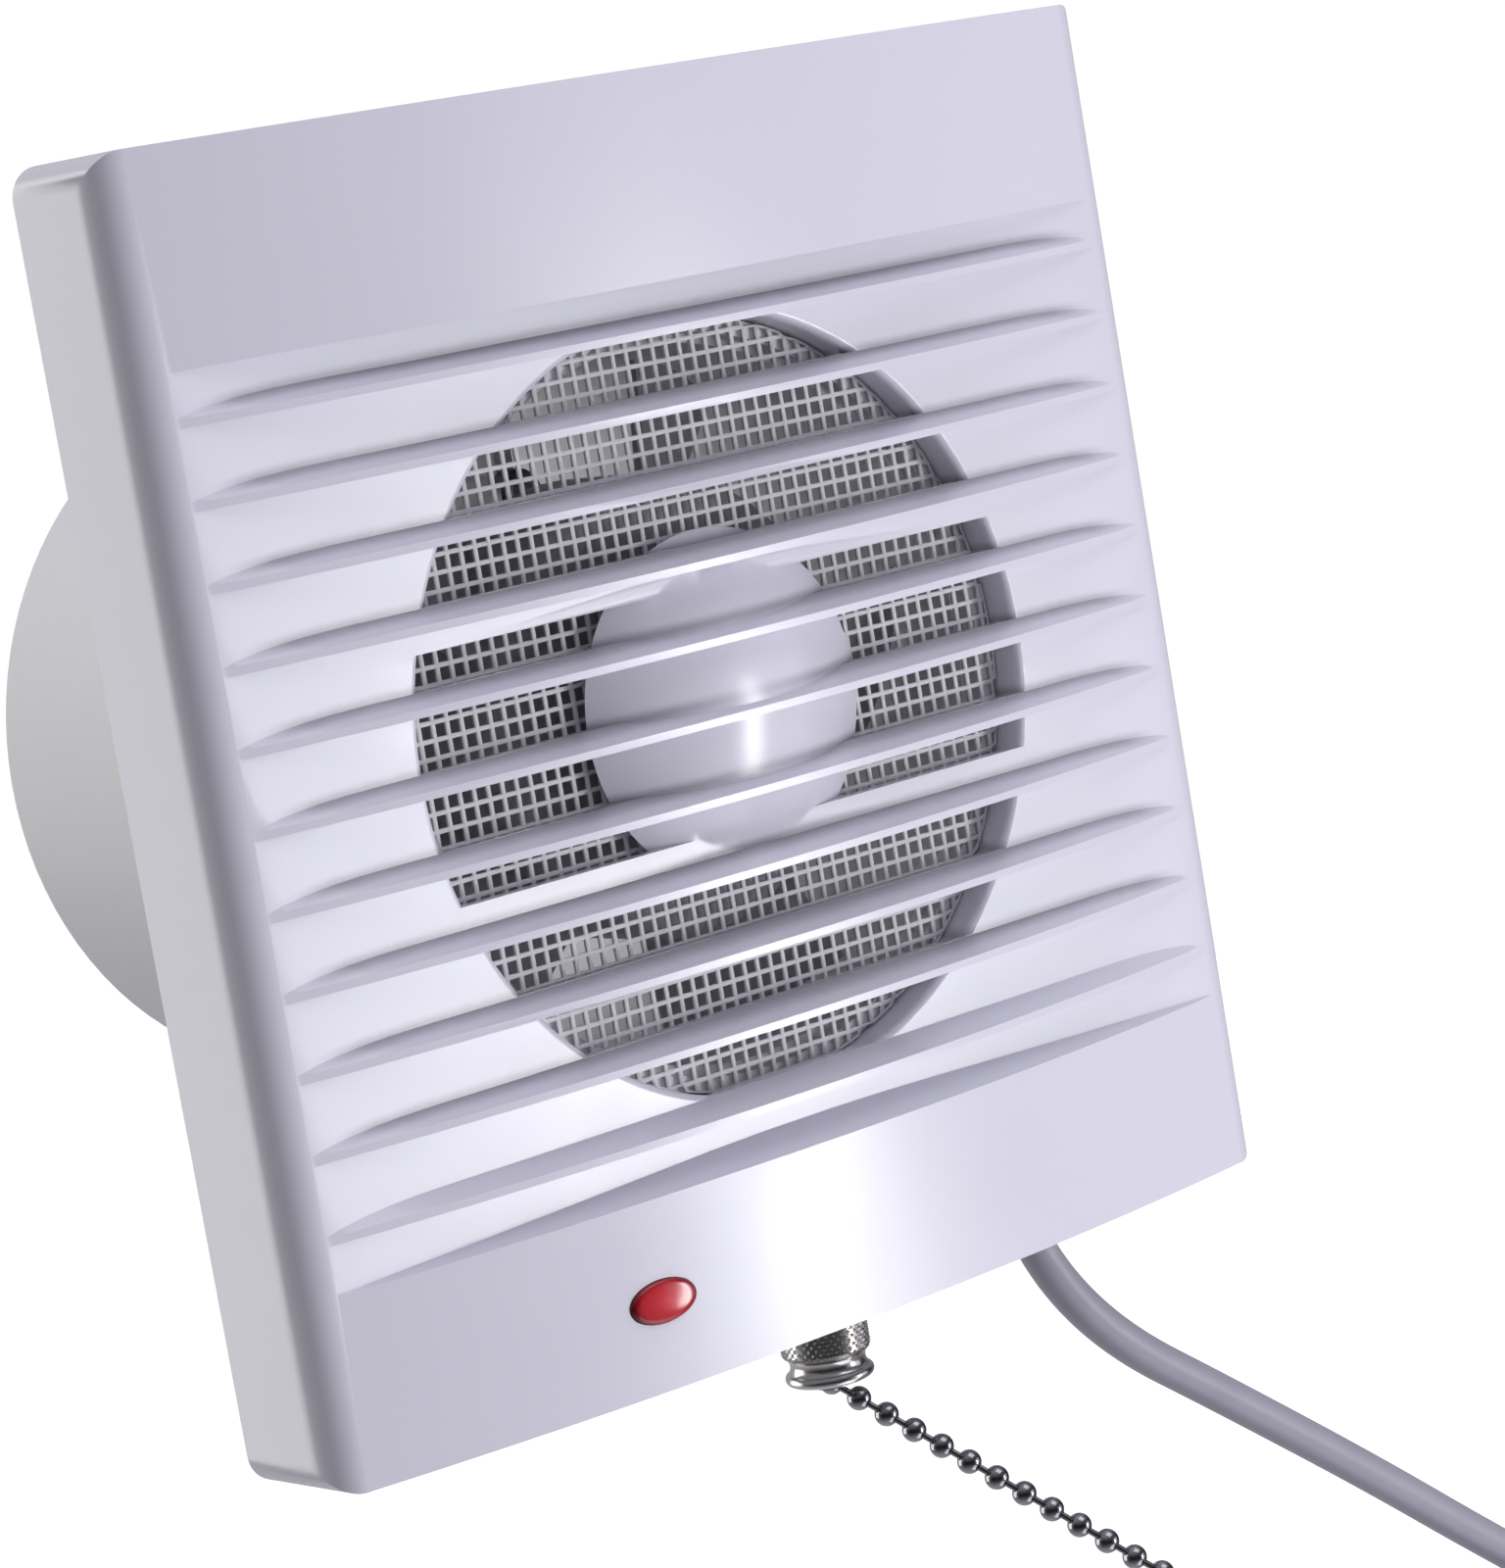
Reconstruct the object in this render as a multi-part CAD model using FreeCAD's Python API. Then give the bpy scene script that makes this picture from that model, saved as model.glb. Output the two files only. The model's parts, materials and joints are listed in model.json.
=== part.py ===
import FreeCAD, Part
import math
import os

V = FreeCAD.Vector
Y_AXIS = V(0, 1, 0)
Z_AXIS = V(0, 0, 1)

# Frame: millimetres, origin on the wall at the centre of the duct, X right, Y into the wall, Z up.

# Front panel, bowed forward in plan
PANEL = 160.0
SIDE_DEPTH = 17.8
BOW = 6.85
WALL = 2.2
EDGE_ROUND = 5.0
CORNER_ROUND = 4.0
WALL_GAP = 0.3

# Louvres: shelves with a bowed front stand on a flat face; the top of each falls back to a straight root
LOUVRE_COUNT = 11
LOUVRE_PITCH = 9.75
LOUVRE_TOP = 53.9
FIRST_EDGE_DROP = 6.54
LAND = 0.95
LEDGE = 1.72
ROOT_SINK = 0.8
ROOT_COVER = 1.8
TIP_RISE = 0.3
CUT_PROUD = 0.05
# Shape of a root line: shares of the half width, and of the rise from the tip
ROOT_SHAPE = ((1, 0), (0.935, 0.56), (0.855, 0.91), (0.71, 1), (0, 1))
LAST_ROOT_SHAPE = ((1, 0), (0.70, 0.28), (0.40, 0.66), (0.16, 0.95), (0, 1))
LAST_ROOT_DROP = 3.66
LAST_GROOVE_DROP = 6.06
PLATE_MARGIN = 1.0
RIB_UPPER_LOUVRE = 4
RIB_LOWER_LOUVRE = 8
RIB_HEIGHT = 2.7

# Dome behind the middle louvres
DOME_R = 22.4
DOME_RISE = 6.5
DOME_APEX_SINK = 1.75
DOME_WALL = 2.0

# Duct spigot and wall plate
DUCT_OD = 97.0
DUCT_WALL = 2.5
DUCT_LENGTH = 76.0
HOLE_MARGIN = 1.0
HOLE_ROUND = 1.0
COLLAR_WALL = 2.0
COLLAR_LENGTH = 6.0
PLATE_THICK = 2.5
PLATE_CLEAR = 0.4
SCREW_INSET = 18.0
SCREW_HOLE = 4.5

# Snap hooks at the top and bottom of the wall plate
HOOK_INSET = 14.0
HOOK_WIDTH = 8.0
HOOK_THICK = 1.6
HOOK_REACH = 9.0
HOOK_LIP = 2.0
CATCH_HEIGHT = 1.4
CATCH_LENGTH = 2.0
SNAP_GAP = 0.3

# Insect screen and its frame
SCREEN_SET_BACK = 2.7
SCREEN_THICK = 0.5
SCREEN_PITCH = 5.9
SCREEN_WIRE = 0.7
SCREEN_FRAME_WALL = 2.1
SCREEN_FRAME_LENGTH = 2.4
SEAT_GAP = 0.2

# Impeller
BLADE_COUNT = 5
HUB_R = 30.0
HUB_FRONT = -7.5
HUB_LENGTH = 18.5
HUB_ROUND = 3.0
HUB_WALL = 2.0
HUB_BOSS_R = 6.0
BLADE_TIP_GAP = 1.6
BLADE_THICK = 1.5
BLADE_ROOT_CHORD = 21.0
BLADE_TIP_CHORD = 27.0
BLADE_ROOT_PITCH = 40.0
BLADE_TIP_PITCH = 26.0
BLADE_STATIONS = 4
BLADE_OVERRUN = 1.5
BLADE_START = 20.0

# Motor
SHAFT_R = 2.0
RUN_CLEAR = 0.03
FIT_CLEAR = 0.02
SHAFT_NOSE = 2.0
CLIP_R = 5.0
CLIP_THICK = 0.8
CAN_R = 24.0
CAN_WALL = 1.2
CAN_FRONT = 20.0
CAN_LENGTH = 34.0
CAP_THICK = 2.5
BUSH_R = 4.5
BUSH_LENGTH = 4.5
BUSH_BOSS_WALL = 2.0
CORE_FRONT = 28.0
CORE_LENGTH = 14.0
AIR_GAP = 0.6
STATOR_BACK = 4.6
SLOT_DEPTH = 5.5
POLE_WIDTH = 7.0
POLE_COUNT = 4
FIRST_POLE = 45.0
BOBBIN_WALL = 0.9
COIL_THICK = 2.6
COIL_HEIGHT = 2.5
COIL_CHEEK = 0.5
WINDING_GAP = 0.05

# Motor carrier inside the duct
CARRIER_WALL = 2.2
CARRIER_LENGTH = 16.0
CARRIER_GAP = 0.05
STRUT_COUNT = 3
STRUT_THICK = 3.0
FIRST_STRUT = 90.0
BOSS_R = 3.2
BOSS_OFFSET = 5.0
MOTOR_SCREW_R = 1.2
MOTOR_SCREW_HEAD_R = 2.4
MOTOR_SCREW_HEAD = 1.5
MOTOR_SCREW_LENGTH = 10.0
SCREW_CLEAR = 0.1

# Pull switch behind the lower edge
SWITCH_Y = -14.8
CASE_WIDTH = 18.0
CASE_DEPTH = 12.0
CASE_HEIGHT = 15.6
CASE_WALL = 1.2
LOCKNUT_THICK = 2.0
LOCKNUT_FLATS = 12.0
THREAD_R = 4.5
THREAD_CLEAR = 0.2
BUSHING_DROP = 5.0
NUT_GAP = 0.1
NUT_KNURL_R = 6.0
NUT_KNURL_LENGTH = 5.0
NUT_WAIST_R = 4.9
NUT_LIP_R = 5.8
NUT_HEIGHT = 8.7
NUT_MOUTH_R = 3.8
NUT_EDGE = 0.4
NUT_LIP_ROUND = 0.7
PLUNGER_R = 1.6
PLUNGER_CLEAR = 0.05
PLUNGER_HEAD_R = 2.9
PLUNGER_HEAD = 1.2
PLUNGER_TOP_GAP = 1.8
SPRING_WIRE = 0.6
SPRING_R = 2.35
SPRING_TURNS = 7
SPRING_END_GAP = 0.05
DRUM_R = 2.0
DRUM_X = 5.3
DRUM_RISE = 7.6
DRUM_PIN_R = 0.7
DRUM_END_GAP = 0.3
CONTACT_THICK = 0.7
CONTACT_WIDTH = 2.5
CONTACT_SPACING = 4.0

# Bead chain, drawn off to the front right as it is pulled
BEAD = 3.2
BEAD_PITCH = 4.1
BEAD_LINK_R = 0.5
BEAD_COUNT = 14
CHAIN_DIRECTION = V(0.543, -0.557, -0.634)
CHAIN_PIVOT_DROP = 0.5
CUP_WALL = 0.95
CUP_CLEAR = 0.05
CUP_RIM_DROP = 0.3
PULL_TOP_R = 2.6
PULL_RIM_R = 4.6
PULL_LENGTH = 13.0
PULL_SOCKET = 3.0
PULL_WALL = 0.8
PULL_NECK_SHARE = 0.3
PULL_FLARE = 0.5

# Indicator lamp
LAMP_X = -31.5
LAMP_RISE = 11.2
LAMP_WIDTH = 10.0
LAMP_HEIGHT = 5.35
LAMP_PROUD = 0.6
LAMP_CLEAR = 0.1
LAMP_FLANGE = 1.2
LAMP_FLANGE_THICK = 1.0
BULB_R = 2.2
BULB_LENGTH = 8.0
HOLDER_WALL = 1.4

# Mains flex, its grommet, clamp and terminals
CORD_R = 2.75
CORD_X = 42.4
CORD_Y = -8.5
CORD_CLEAR = 0.1
GROMMET_NECK_R = 4.0
GROMMET_FLANGE_R = 5.4
GROMMET_FLANGE = 1.5
CLAMP_X = 40.6
CLAMP_WIDTH = 15.0
CLAMP_DEPTH = 10.0
CLAMP_HEIGHT = 6.0
CLAMP_RISE = 4.0
SMALL_SCREW_R = 1.0
SMALL_HEAD_R = 2.0
SMALL_HEAD = 1.2
BLOCK_LEFT = 14.0
BLOCK_WIDTH = 16.0
BLOCK_DEPTH = 9.0
BLOCK_HEIGHT = 11.0
BLOCK_RISE = 4.5
BLOCK_WAYS = 3
WIRE_HOLE_R = 1.3

# The flex runs down along the wall and to the right; points are X and the height over the panel's lower edge
CORD_ROUTE = [
    (39.9, 12.9), (41.7, 2.6), (45.8, -7.1), (52.0, -15.6), (60.2, -23.3), (70.4, -30.6),
    (81.2, -38.5), (94.6, -48.4), (106.6, -57.5), (118.0, -66.4), (128.8, -74.6),
    (139.4, -82.9), (150.0, -91.0),
]
ARC_SHARE = 0.45
BORE_EDGE_COUNT = 5

# The rest of the flex is wound into a tied coil beside the wall
COIL_R = 40.0
COIL_STEP = 6.1
COIL_TURNS = 6
COIL_LEAD = 30.0
TIE_WIDTH = 7.0
TIE_WALL = 1.2
TIE_CLEAR = 0.3

# Two-pin plug
PLUG_LENGTH = 38.0
PLUG_WIDTH = 24.0
PLUG_THICK = 13.0
PLUG_NECK_R = 5.0
PLUG_NECK_LENGTH = 12.0
PLUG_ROUND = 3.0
PIN_R = 2.0
PIN_LENGTH = 19.0
PIN_SPACING = 18.6
PIN_SINK = 6.0

# Places worked out from the sizes above
HALF = PANEL / 2
BOW_R = (HALF ** 2 + BOW ** 2) / (2 * BOW)
BOW_CENTRE_Y = BOW_R - SIDE_DEPTH - BOW
ROOT_Y = -(SIDE_DEPTH + ROOT_SINK)
LOUVRE_BACK = ROOT_Y + ROOT_COVER
DUCT_R = DUCT_OD / 2
DUCT_BORE = DUCT_R - DUCT_WALL
HOLE_R = DUCT_R + HOLE_MARGIN
FLOOR_Z = -HALF + WALL
PLATE_HALF = HALF - WALL - PLATE_CLEAR
SCREEN_FRONT = LOUVRE_BACK + SCREEN_SET_BACK
SCREEN_BACK = SCREEN_FRONT + SCREEN_THICK
FRAME_BACK = SCREEN_BACK + SCREEN_FRAME_LENGTH
DUCT_FRONT = FRAME_BACK + SEAT_GAP
SCREW_SPACING = PANEL - 2 * SCREW_INSET
HOOK_X = HALF - HOOK_INSET
LAMP_Z = -HALF + LAMP_RISE
CAN_BACK = CAN_FRONT + CAN_LENGTH
CAN_BORE = CAN_R - CAN_WALL
ROTOR_R = CAN_BORE - STATOR_BACK - SLOT_DEPTH - AIR_GAP
BOSS_CIRCLE = CAN_R + BOSS_OFFSET
CASE_FLOOR = FLOOR_Z + LOCKNUT_THICK + NUT_GAP * 2
CASE_TOP = CASE_FLOOR + CASE_HEIGHT
CASE_BACK = SWITCH_Y + CASE_DEPTH / 2
CASE_FRONT = SWITCH_Y - CASE_DEPTH / 2
NUT_TOP = -HALF - NUT_GAP
NUT_MOUTH = NUT_TOP - NUT_HEIGHT
CHAIN_PIVOT = V(0, SWITCH_Y, NUT_MOUTH - CHAIN_PIVOT_DROP)


def rod_y(radius, start, end, x=0.0, z=0.0):
    return Part.makeCylinder(radius, end - start, V(x, start, z), Y_AXIS)


def rod_z(radius, bottom, top, x=0.0, y=0.0):
    return Part.makeCylinder(radius, top - bottom, V(x, y, bottom), Z_AXIS)


def ring_y(inner, outer, start, end):
    return rod_y(outer, start, end).cut(rod_y(inner, start - 1, end + 1))


def box(x0, x1, y0, y1, z0, z1):
    return Part.makeBox(x1 - x0, y1 - y0, z1 - z0, V(x0, y0, z0))


def union(shapes):
    return shapes[0].multiFuse(shapes[1:]).removeSplitter()


def around_y(shape, degrees):
    turned = shape.copy()
    turned.rotate(V(0, 0, 0), Y_AXIS, degrees)
    return turned


def revolve_z(points, x=0.0, y=0.0):
    corners = [V(x + r, y, z) for r, z in points]
    face = Part.Face(Part.makePolygon(corners + corners[:1]))
    return face.revolve(V(x, y, 0), Z_AXIS, 360)


def bow_y(x, inset=0.0):
    return BOW_CENTRE_Y - math.sqrt((BOW_R - inset) ** 2 - x ** 2)


def bow_x(y):
    return math.sqrt(BOW_R ** 2 - (BOW_CENTRE_Y - y) ** 2)


def arc_through(start, middle, end):
    return Part.Arc(start, middle, end).toShape()


def arc_from(start, tangent, end):
    chord = end - start
    length = chord.Length
    along = chord / length
    side = tangent - along * tangent.dot(along)
    if side.Length < 1e-7:
        return Part.LineSegment(start, end).toShape()
    angle = math.atan2(side.Length, tangent.dot(along))
    middle = (start + end) / 2 + side / side.Length * (length / 2 * math.tan(angle / 2))
    return arc_through(start, middle, end)


def biarc(p0, t0, p1, t1):
    span = p1 - p0
    both = t0 + t1
    spread = 2 * (1 - t0.dot(t1))
    reach = span.dot(both)
    if spread < 1e-9:
        d = span.dot(span) / (2 * reach)
    else:
        d = (math.sqrt(reach ** 2 + spread * span.dot(span)) - reach) / spread
    q1 = p0 + t0 * d
    q2 = p1 - t1 * d
    middle = (q1 + q2) / 2
    return [arc_from(p0, t0, middle), arc_from(middle, (q2 - q1).normalize(), p1)]


def sweep(edges, radius, start, direction):
    maker = Part.BRepOffsetAPI.MakePipeShell(Part.Wire(edges))
    maker.add(Part.Wire(Part.makeCircle(radius, start, direction)))
    maker.build()
    maker.makeSolid()
    return maker.shape()


def tangent_of(curve, u):
    return (curve(u + 1e-4) - curve(u - 1e-4)).normalize()


def wound_edges(curve, end):
    count = math.ceil(end / (math.pi / 2))
    stops = [end * i / count for i in range(count + 1)]
    edges = []
    for a, b in zip(stops, stops[1:]):
        edges += biarc(curve(a), tangent_of(curve, a), curve(b), tangent_of(curve, b))
    return edges


def least_gap(curve, end, diameter):
    steps = 60
    count = int(end / (2 * math.pi) * steps)
    points = [curve(end * i / count) for i in range(count + 1)]
    least = min(
        (points[i] - points[j]).Length
        for i in range(len(points)) for j in range(i + steps // 2, len(points))
    )
    return least - diameter


def report_tube(name, shape, edges, radius):
    length = sum(edge.Length for edge in edges)
    share = shape.Volume / (math.pi * radius ** 2 * length)
    print(f"{name}: length {length:.1f}, volume over section times length {share:.4f}")


def oval_y(width, height, start, end, x, z):
    rim = Part.Ellipse(V(x + width / 2, start, z), V(x, start, z + height / 2), V(x, start, z))
    return Part.Face(Part.Wire(rim.toShape())).extrude(V(0, end - start, 0))


def bowed_block(inset, bottom, top, back):
    side = HALF - inset
    front = bow_y(side, inset)
    corners = [V(-side, back, bottom), V(-side, front, bottom), V(side, front, bottom), V(side, back, bottom)]
    crown = V(0, bow_y(0, inset), bottom)
    edges = [
        Part.LineSegment(corners[0], corners[1]).toShape(),
        arc_through(corners[1], crown, corners[2]),
        Part.LineSegment(corners[2], corners[3]).toShape(),
        Part.LineSegment(corners[3], corners[0]).toShape(),
    ]
    return Part.Face(Part.Wire(edges)).extrude(V(0, 0, top - bottom))


def louvre_edge(number):
    return LOUVRE_TOP - FIRST_EDGE_DROP - LOUVRE_PITCH * (number - 1)


def louvre_root(number):
    return louvre_edge(number) + LAND + LEDGE


def bow_arc(z, end_x):
    end_y = bow_y(end_x) - CUT_PROUD
    return arc_through(V(-end_x, end_y, z), V(0, bow_y(0) - CUT_PROUD, z), V(end_x, end_y, z))


def root_line(z, tip_z, end_x, shape):
    right = [V(share * end_x, ROOT_Y, tip_z + rise * (z - tip_z)) for share, rise in shape]
    left = [V(-p.x, p.y, p.z) for p in right[:-1]]
    curve = Part.BSplineCurve()
    curve.interpolate(left + right[::-1])
    return curve.toShape()


def louvre_groove(top, root, bottom, shape=ROOT_SHAPE):
    end_x = bow_x(ROOT_Y)
    rims = [
        bow_arc(top, end_x),
        Part.LineSegment(V(-end_x, ROOT_Y, top), V(end_x, ROOT_Y, top)).toShape(),
        root_line(root, bottom + TIP_RISE, end_x, shape),
        bow_arc(bottom, end_x),
    ]
    faces = [Part.makeRuledSurface(a, b) for a, b in zip(rims, rims[1:] + rims[:1])]
    for side in (0, -1):
        tips = [rim.Vertexes[side].Point for rim in rims]
        faces.append(Part.Face(Part.makePolygon(tips + tips[:1])))
    shell = Part.makeShell(faces)
    shell.sewShape()
    solid = Part.makeSolid(Part.makeShell(shell.Faces))
    if solid.Volume < 0:
        solid.reverse()
    return solid


def hole_cutter():
    front = bow_y(0) - 1
    back = LOUVRE_BACK + 1
    lip_r = HOLE_R + HOLE_ROUND
    lip_y = ROOT_Y + HOLE_ROUND
    inset = HOLE_ROUND * (1 - math.sqrt(0.5))
    corners = [V(HOLE_R, lip_y, 0), V(HOLE_R, back, 0), V(0, back, 0), V(0, front, 0), V(lip_r, front, 0),
               V(lip_r, ROOT_Y, 0)]
    edges = [Part.LineSegment(a, b).toShape() for a, b in zip(corners, corners[1:])]
    edges.append(arc_through(corners[-1], V(HOLE_R + inset, ROOT_Y + inset, 0), corners[0]))
    return Part.Face(Part.Wire(edges)).revolve(V(0, 0, 0), Y_AXIS, 360)


def louvre_windows():
    windows = []
    reach = HOLE_R + 2 * HOLE_ROUND
    for number in range(1, LOUVRE_COUNT):
        top = louvre_edge(number)
        bottom = louvre_root(number + 1)
        if number == RIB_UPPER_LOUVRE:
            top -= RIB_HEIGHT
        if number == RIB_LOWER_LOUVRE - 1:
            bottom += RIB_HEIGHT
        windows.append(box(-reach, reach, bow_y(0) - 1, LOUVRE_BACK + 1, bottom, top))
    cutter = hole_cutter()
    return [window.common(cutter) for window in windows]


def dome():
    radius = (DOME_R ** 2 + DOME_RISE ** 2) / (2 * DOME_RISE)
    apex = bow_y(0) + DOME_APEX_SINK
    centre = V(0, apex + radius, 0)
    shell = Part.makeSphere(radius, centre).cut(Part.makeSphere(radius - DOME_WALL, centre))
    return shell.common(rod_y(DOME_R + DOME_WALL, bow_y(0), apex + DOME_RISE))


def front_cover():
    shell = bowed_block(0, -HALF, HALF, -WALL_GAP)
    upright = [
        e for e in shell.Edges
        if abs(abs(e.BoundBox.XMin) - HALF) < 1e-6 and e.BoundBox.XLength < 1e-6
        and e.BoundBox.YLength < 1e-6 and e.BoundBox.YMax < -SIDE_DEPTH / 2
    ]
    shell = shell.makeFillet(EDGE_ROUND, upright)
    frame = box(-HALF, HALF, bow_y(0) - 1, 0, -HALF, HALF)
    corners = [e for e in frame.Edges if e.BoundBox.YLength > 1]
    shell = shell.common(frame.makeFillet(CORNER_ROUND, corners))

    last_edge = louvre_edge(LOUVRE_COUNT)
    plate_bottom = last_edge - LAST_GROOVE_DROP - PLATE_MARGIN
    plate_top = LOUVRE_TOP + PLATE_MARGIN
    cavity = bowed_block(WALL, -HALF + WALL, HALF - WALL, 1)
    plate = box(-HALF, HALF, bow_y(0) - 1, LOUVRE_BACK, plate_bottom, plate_top)
    shell = shell.cut(cavity.cut(plate))

    grooves = []
    top = LOUVRE_TOP
    for number in range(1, LOUVRE_COUNT + 1):
        edge = louvre_edge(number)
        grooves.append(louvre_groove(top, louvre_root(number), edge + LAND))
        top = edge
    grooves.append(louvre_groove(top, top - LAST_ROOT_DROP, top - LAST_GROOVE_DROP, LAST_ROOT_SHAPE))
    for groove in grooves:
        shell = shell.cut(groove)
    for window in louvre_windows():
        shell = shell.cut(window)

    collar = ring_y(HOLE_R, HOLE_R + COLLAR_WALL, LOUVRE_BACK, LOUVRE_BACK + COLLAR_LENGTH)
    catch_back = -PLATE_THICK - HOOK_REACH + HOOK_LIP + SNAP_GAP
    added = [dome(), collar]
    for x in (-HOOK_X, HOOK_X):
        for bottom in (FLOOR_Z, -FLOOR_Z - CATCH_HEIGHT):
            half = HOOK_WIDTH / 2
            added.append(box(x - half, x + half, catch_back, catch_back + CATCH_LENGTH,
                             bottom, bottom + CATCH_HEIGHT))
    shell = shell.multiFuse(added)

    thread_hole = rod_z(THREAD_R + THREAD_CLEAR, -HALF - 1, FLOOR_Z + 1, 0, SWITCH_Y)
    notch_r = GROMMET_NECK_R + CORD_CLEAR
    notch = rod_z(notch_r, -HALF - 1, FLOOR_Z + 1, CORD_X, CORD_Y)
    notch_mouth = box(CORD_X - notch_r, CORD_X + notch_r, CORD_Y, 1, -HALF - 1, FLOOR_Z + 1)
    lamp_hole = oval_y(LAMP_WIDTH + 2 * LAMP_CLEAR, LAMP_HEIGHT + 2 * LAMP_CLEAR,
                       bow_y(0) - 1, LOUVRE_BACK, LAMP_X, LAMP_Z)
    for opening in (thread_hole, notch, notch_mouth, lamp_hole):
        shell = shell.cut(opening)
    return shell


def boss_angles():
    return [FIRST_STRUT + 360 / STRUT_COUNT * i for i in range(STRUT_COUNT)]


def on_circle(angle):
    return BOSS_CIRCLE * math.cos(math.radians(angle)), BOSS_CIRCLE * math.sin(math.radians(angle))


def clamp_screw_places():
    offset = CLAMP_WIDTH / 2 - SMALL_HEAD_R
    height = FLOOR_Z + CLAMP_RISE + CLAMP_HEIGHT / 2
    return [(CLAMP_X + side * offset, height) for side in (-1, 1)]


def rear_housing():
    plate = box(-PLATE_HALF, PLATE_HALF, -PLATE_THICK, 0, -PLATE_HALF, PLATE_HALF)
    pieces = [plate, rod_y(DUCT_R, DUCT_FRONT, DUCT_LENGTH)]
    for x in (-HOOK_X, HOOK_X):
        for side in (-1, 1):
            inner = side * (HALF - WALL - CATCH_HEIGHT - SNAP_GAP - HOOK_THICK)
            outer = side * (HALF - WALL - CATCH_HEIGHT - SNAP_GAP)
            lip = side * (HALF - WALL - SNAP_GAP)
            left, right = x - HOOK_WIDTH / 2, x + HOOK_WIDTH / 2
            tip = -PLATE_THICK - HOOK_REACH
            pieces.append(box(left, right, tip, 0, min(inner, outer), max(inner, outer)))
            pieces.append(box(left, right, tip, tip + HOOK_LIP, min(inner, lip), max(inner, lip)))
    housing = union(pieces).cut(rod_y(DUCT_BORE, DUCT_FRONT - 1, DUCT_LENGTH + 1))

    carrier_back = CAN_FRONT + CARRIER_LENGTH
    carrier = [rod_y(CAN_R + CARRIER_GAP + CARRIER_WALL, CAN_FRONT, carrier_back)]
    for angle in boss_angles():
        x, z = on_circle(angle)
        carrier.append(rod_y(BOSS_R, CAN_FRONT, carrier_back, x, z))
        strut = box(CAN_R, DUCT_R - DUCT_WALL / 2, CAN_FRONT, carrier_back, -STRUT_THICK / 2, STRUT_THICK / 2)
        carrier.append(around_y(strut, -angle))
    carrier = union(carrier).cut(rod_y(CAN_R + CARRIER_GAP, CAN_FRONT - 1, carrier_back + 1))
    for angle in boss_angles():
        x, z = on_circle(angle)
        hole_end = CAN_FRONT + MOTOR_SCREW_LENGTH
        carrier = carrier.cut(rod_y(MOTOR_SCREW_R + CARRIER_GAP, CAN_FRONT - 1, hole_end, x, z))
    housing = union([housing, carrier])

    for x in (-SCREW_SPACING / 2, SCREW_SPACING / 2):
        for z in (-SCREW_SPACING / 2, SCREW_SPACING / 2):
            housing = housing.cut(rod_y(SCREW_HOLE / 2, -PLATE_THICK - 1, 1, x, z))
    for x, z in clamp_screw_places():
        housing = housing.cut(rod_y(SMALL_SCREW_R + CARRIER_GAP, -PLATE_THICK - 1, 1, x, z))
    return housing


def insect_screen():
    radius = HOLE_R - SEAT_GAP
    opening = SCREEN_PITCH - SCREEN_WIRE
    clear = radius - SCREEN_FRAME_WALL
    reach = int(radius / SCREEN_PITCH) + 1
    wires = [Part.Wire(Part.makeCircle(radius, V(0, SCREEN_FRONT, 0), Y_AXIS))]
    for i in range(-reach, reach + 1):
        for j in range(-reach, reach + 1):
            x0 = i * SCREEN_PITCH - opening / 2
            z0 = j * SCREEN_PITCH - opening / 2
            corners = [(x0, z0), (x0 + opening, z0), (x0 + opening, z0 + opening), (x0, z0 + opening)]
            if max(math.hypot(x, z) for x, z in corners) < clear:
                points = [V(x, SCREEN_FRONT, z) for x, z in corners]
                wires.append(Part.makePolygon(points + points[:1]))
    print(f"insect_screen: {len(wires) - 1} gaps")
    face = Part.Face(wires, "Part::FaceMakerBullseye")
    return face.extrude(V(0, SCREEN_THICK, 0))


def screen_frame():
    outer = HOLE_R - SEAT_GAP
    return ring_y(outer - SCREEN_FRAME_WALL, outer, SCREEN_BACK, FRAME_BACK)


def blade():
    sections = []
    tip = DUCT_BORE - BLADE_TIP_GAP
    root = HUB_R - BLADE_OVERRUN
    middle = HUB_FRONT + HUB_LENGTH / 2
    for i in range(BLADE_STATIONS):
        t = i / (BLADE_STATIONS - 1)
        radius = root + (tip + BLADE_OVERRUN - root) * t
        chord = BLADE_ROOT_CHORD + (BLADE_TIP_CHORD - BLADE_ROOT_CHORD) * t
        pitch = math.radians(BLADE_ROOT_PITCH + (BLADE_TIP_PITCH - BLADE_ROOT_PITCH) * t)
        along = V(math.cos(pitch), math.sin(pitch), 0)
        across = V(-math.sin(pitch), math.cos(pitch), 0)
        centre = V(0, middle, radius)
        corners = [
            centre + along * (chord / 2 * a) + across * (BLADE_THICK / 2 * b)
            for a, b in ((-1, -1), (1, -1), (1, 1), (-1, 1))
        ]
        sections.append(Part.makePolygon(corners + corners[:1]))
    return Part.makeLoft(sections, True, True)


def hub():
    back = HUB_FRONT + HUB_LENGTH
    cup = rod_y(HUB_R, HUB_FRONT, back)
    nose = [e for e in cup.Edges if abs(e.BoundBox.YMax - HUB_FRONT) < 1e-6]
    cup = cup.makeFillet(HUB_ROUND, nose)
    cup = cup.cut(rod_y(HUB_R - HUB_WALL, HUB_FRONT + HUB_WALL, back + 1))
    return cup.fuse(rod_y(HUB_BOSS_R, HUB_FRONT + HUB_WALL, back))


def impeller():
    back = HUB_FRONT + HUB_LENGTH
    sweep_disc = ring_y(HUB_R - BLADE_OVERRUN, DUCT_BORE - BLADE_TIP_GAP, HUB_FRONT, back)
    one = blade().common(sweep_disc)
    blades = [around_y(one, BLADE_START + 360 / BLADE_COUNT * i) for i in range(BLADE_COUNT)]
    fan = union([hub()] + blades)
    return fan.cut(rod_y(SHAFT_R + FIT_CLEAR, HUB_FRONT - 1, back + 1))


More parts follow.
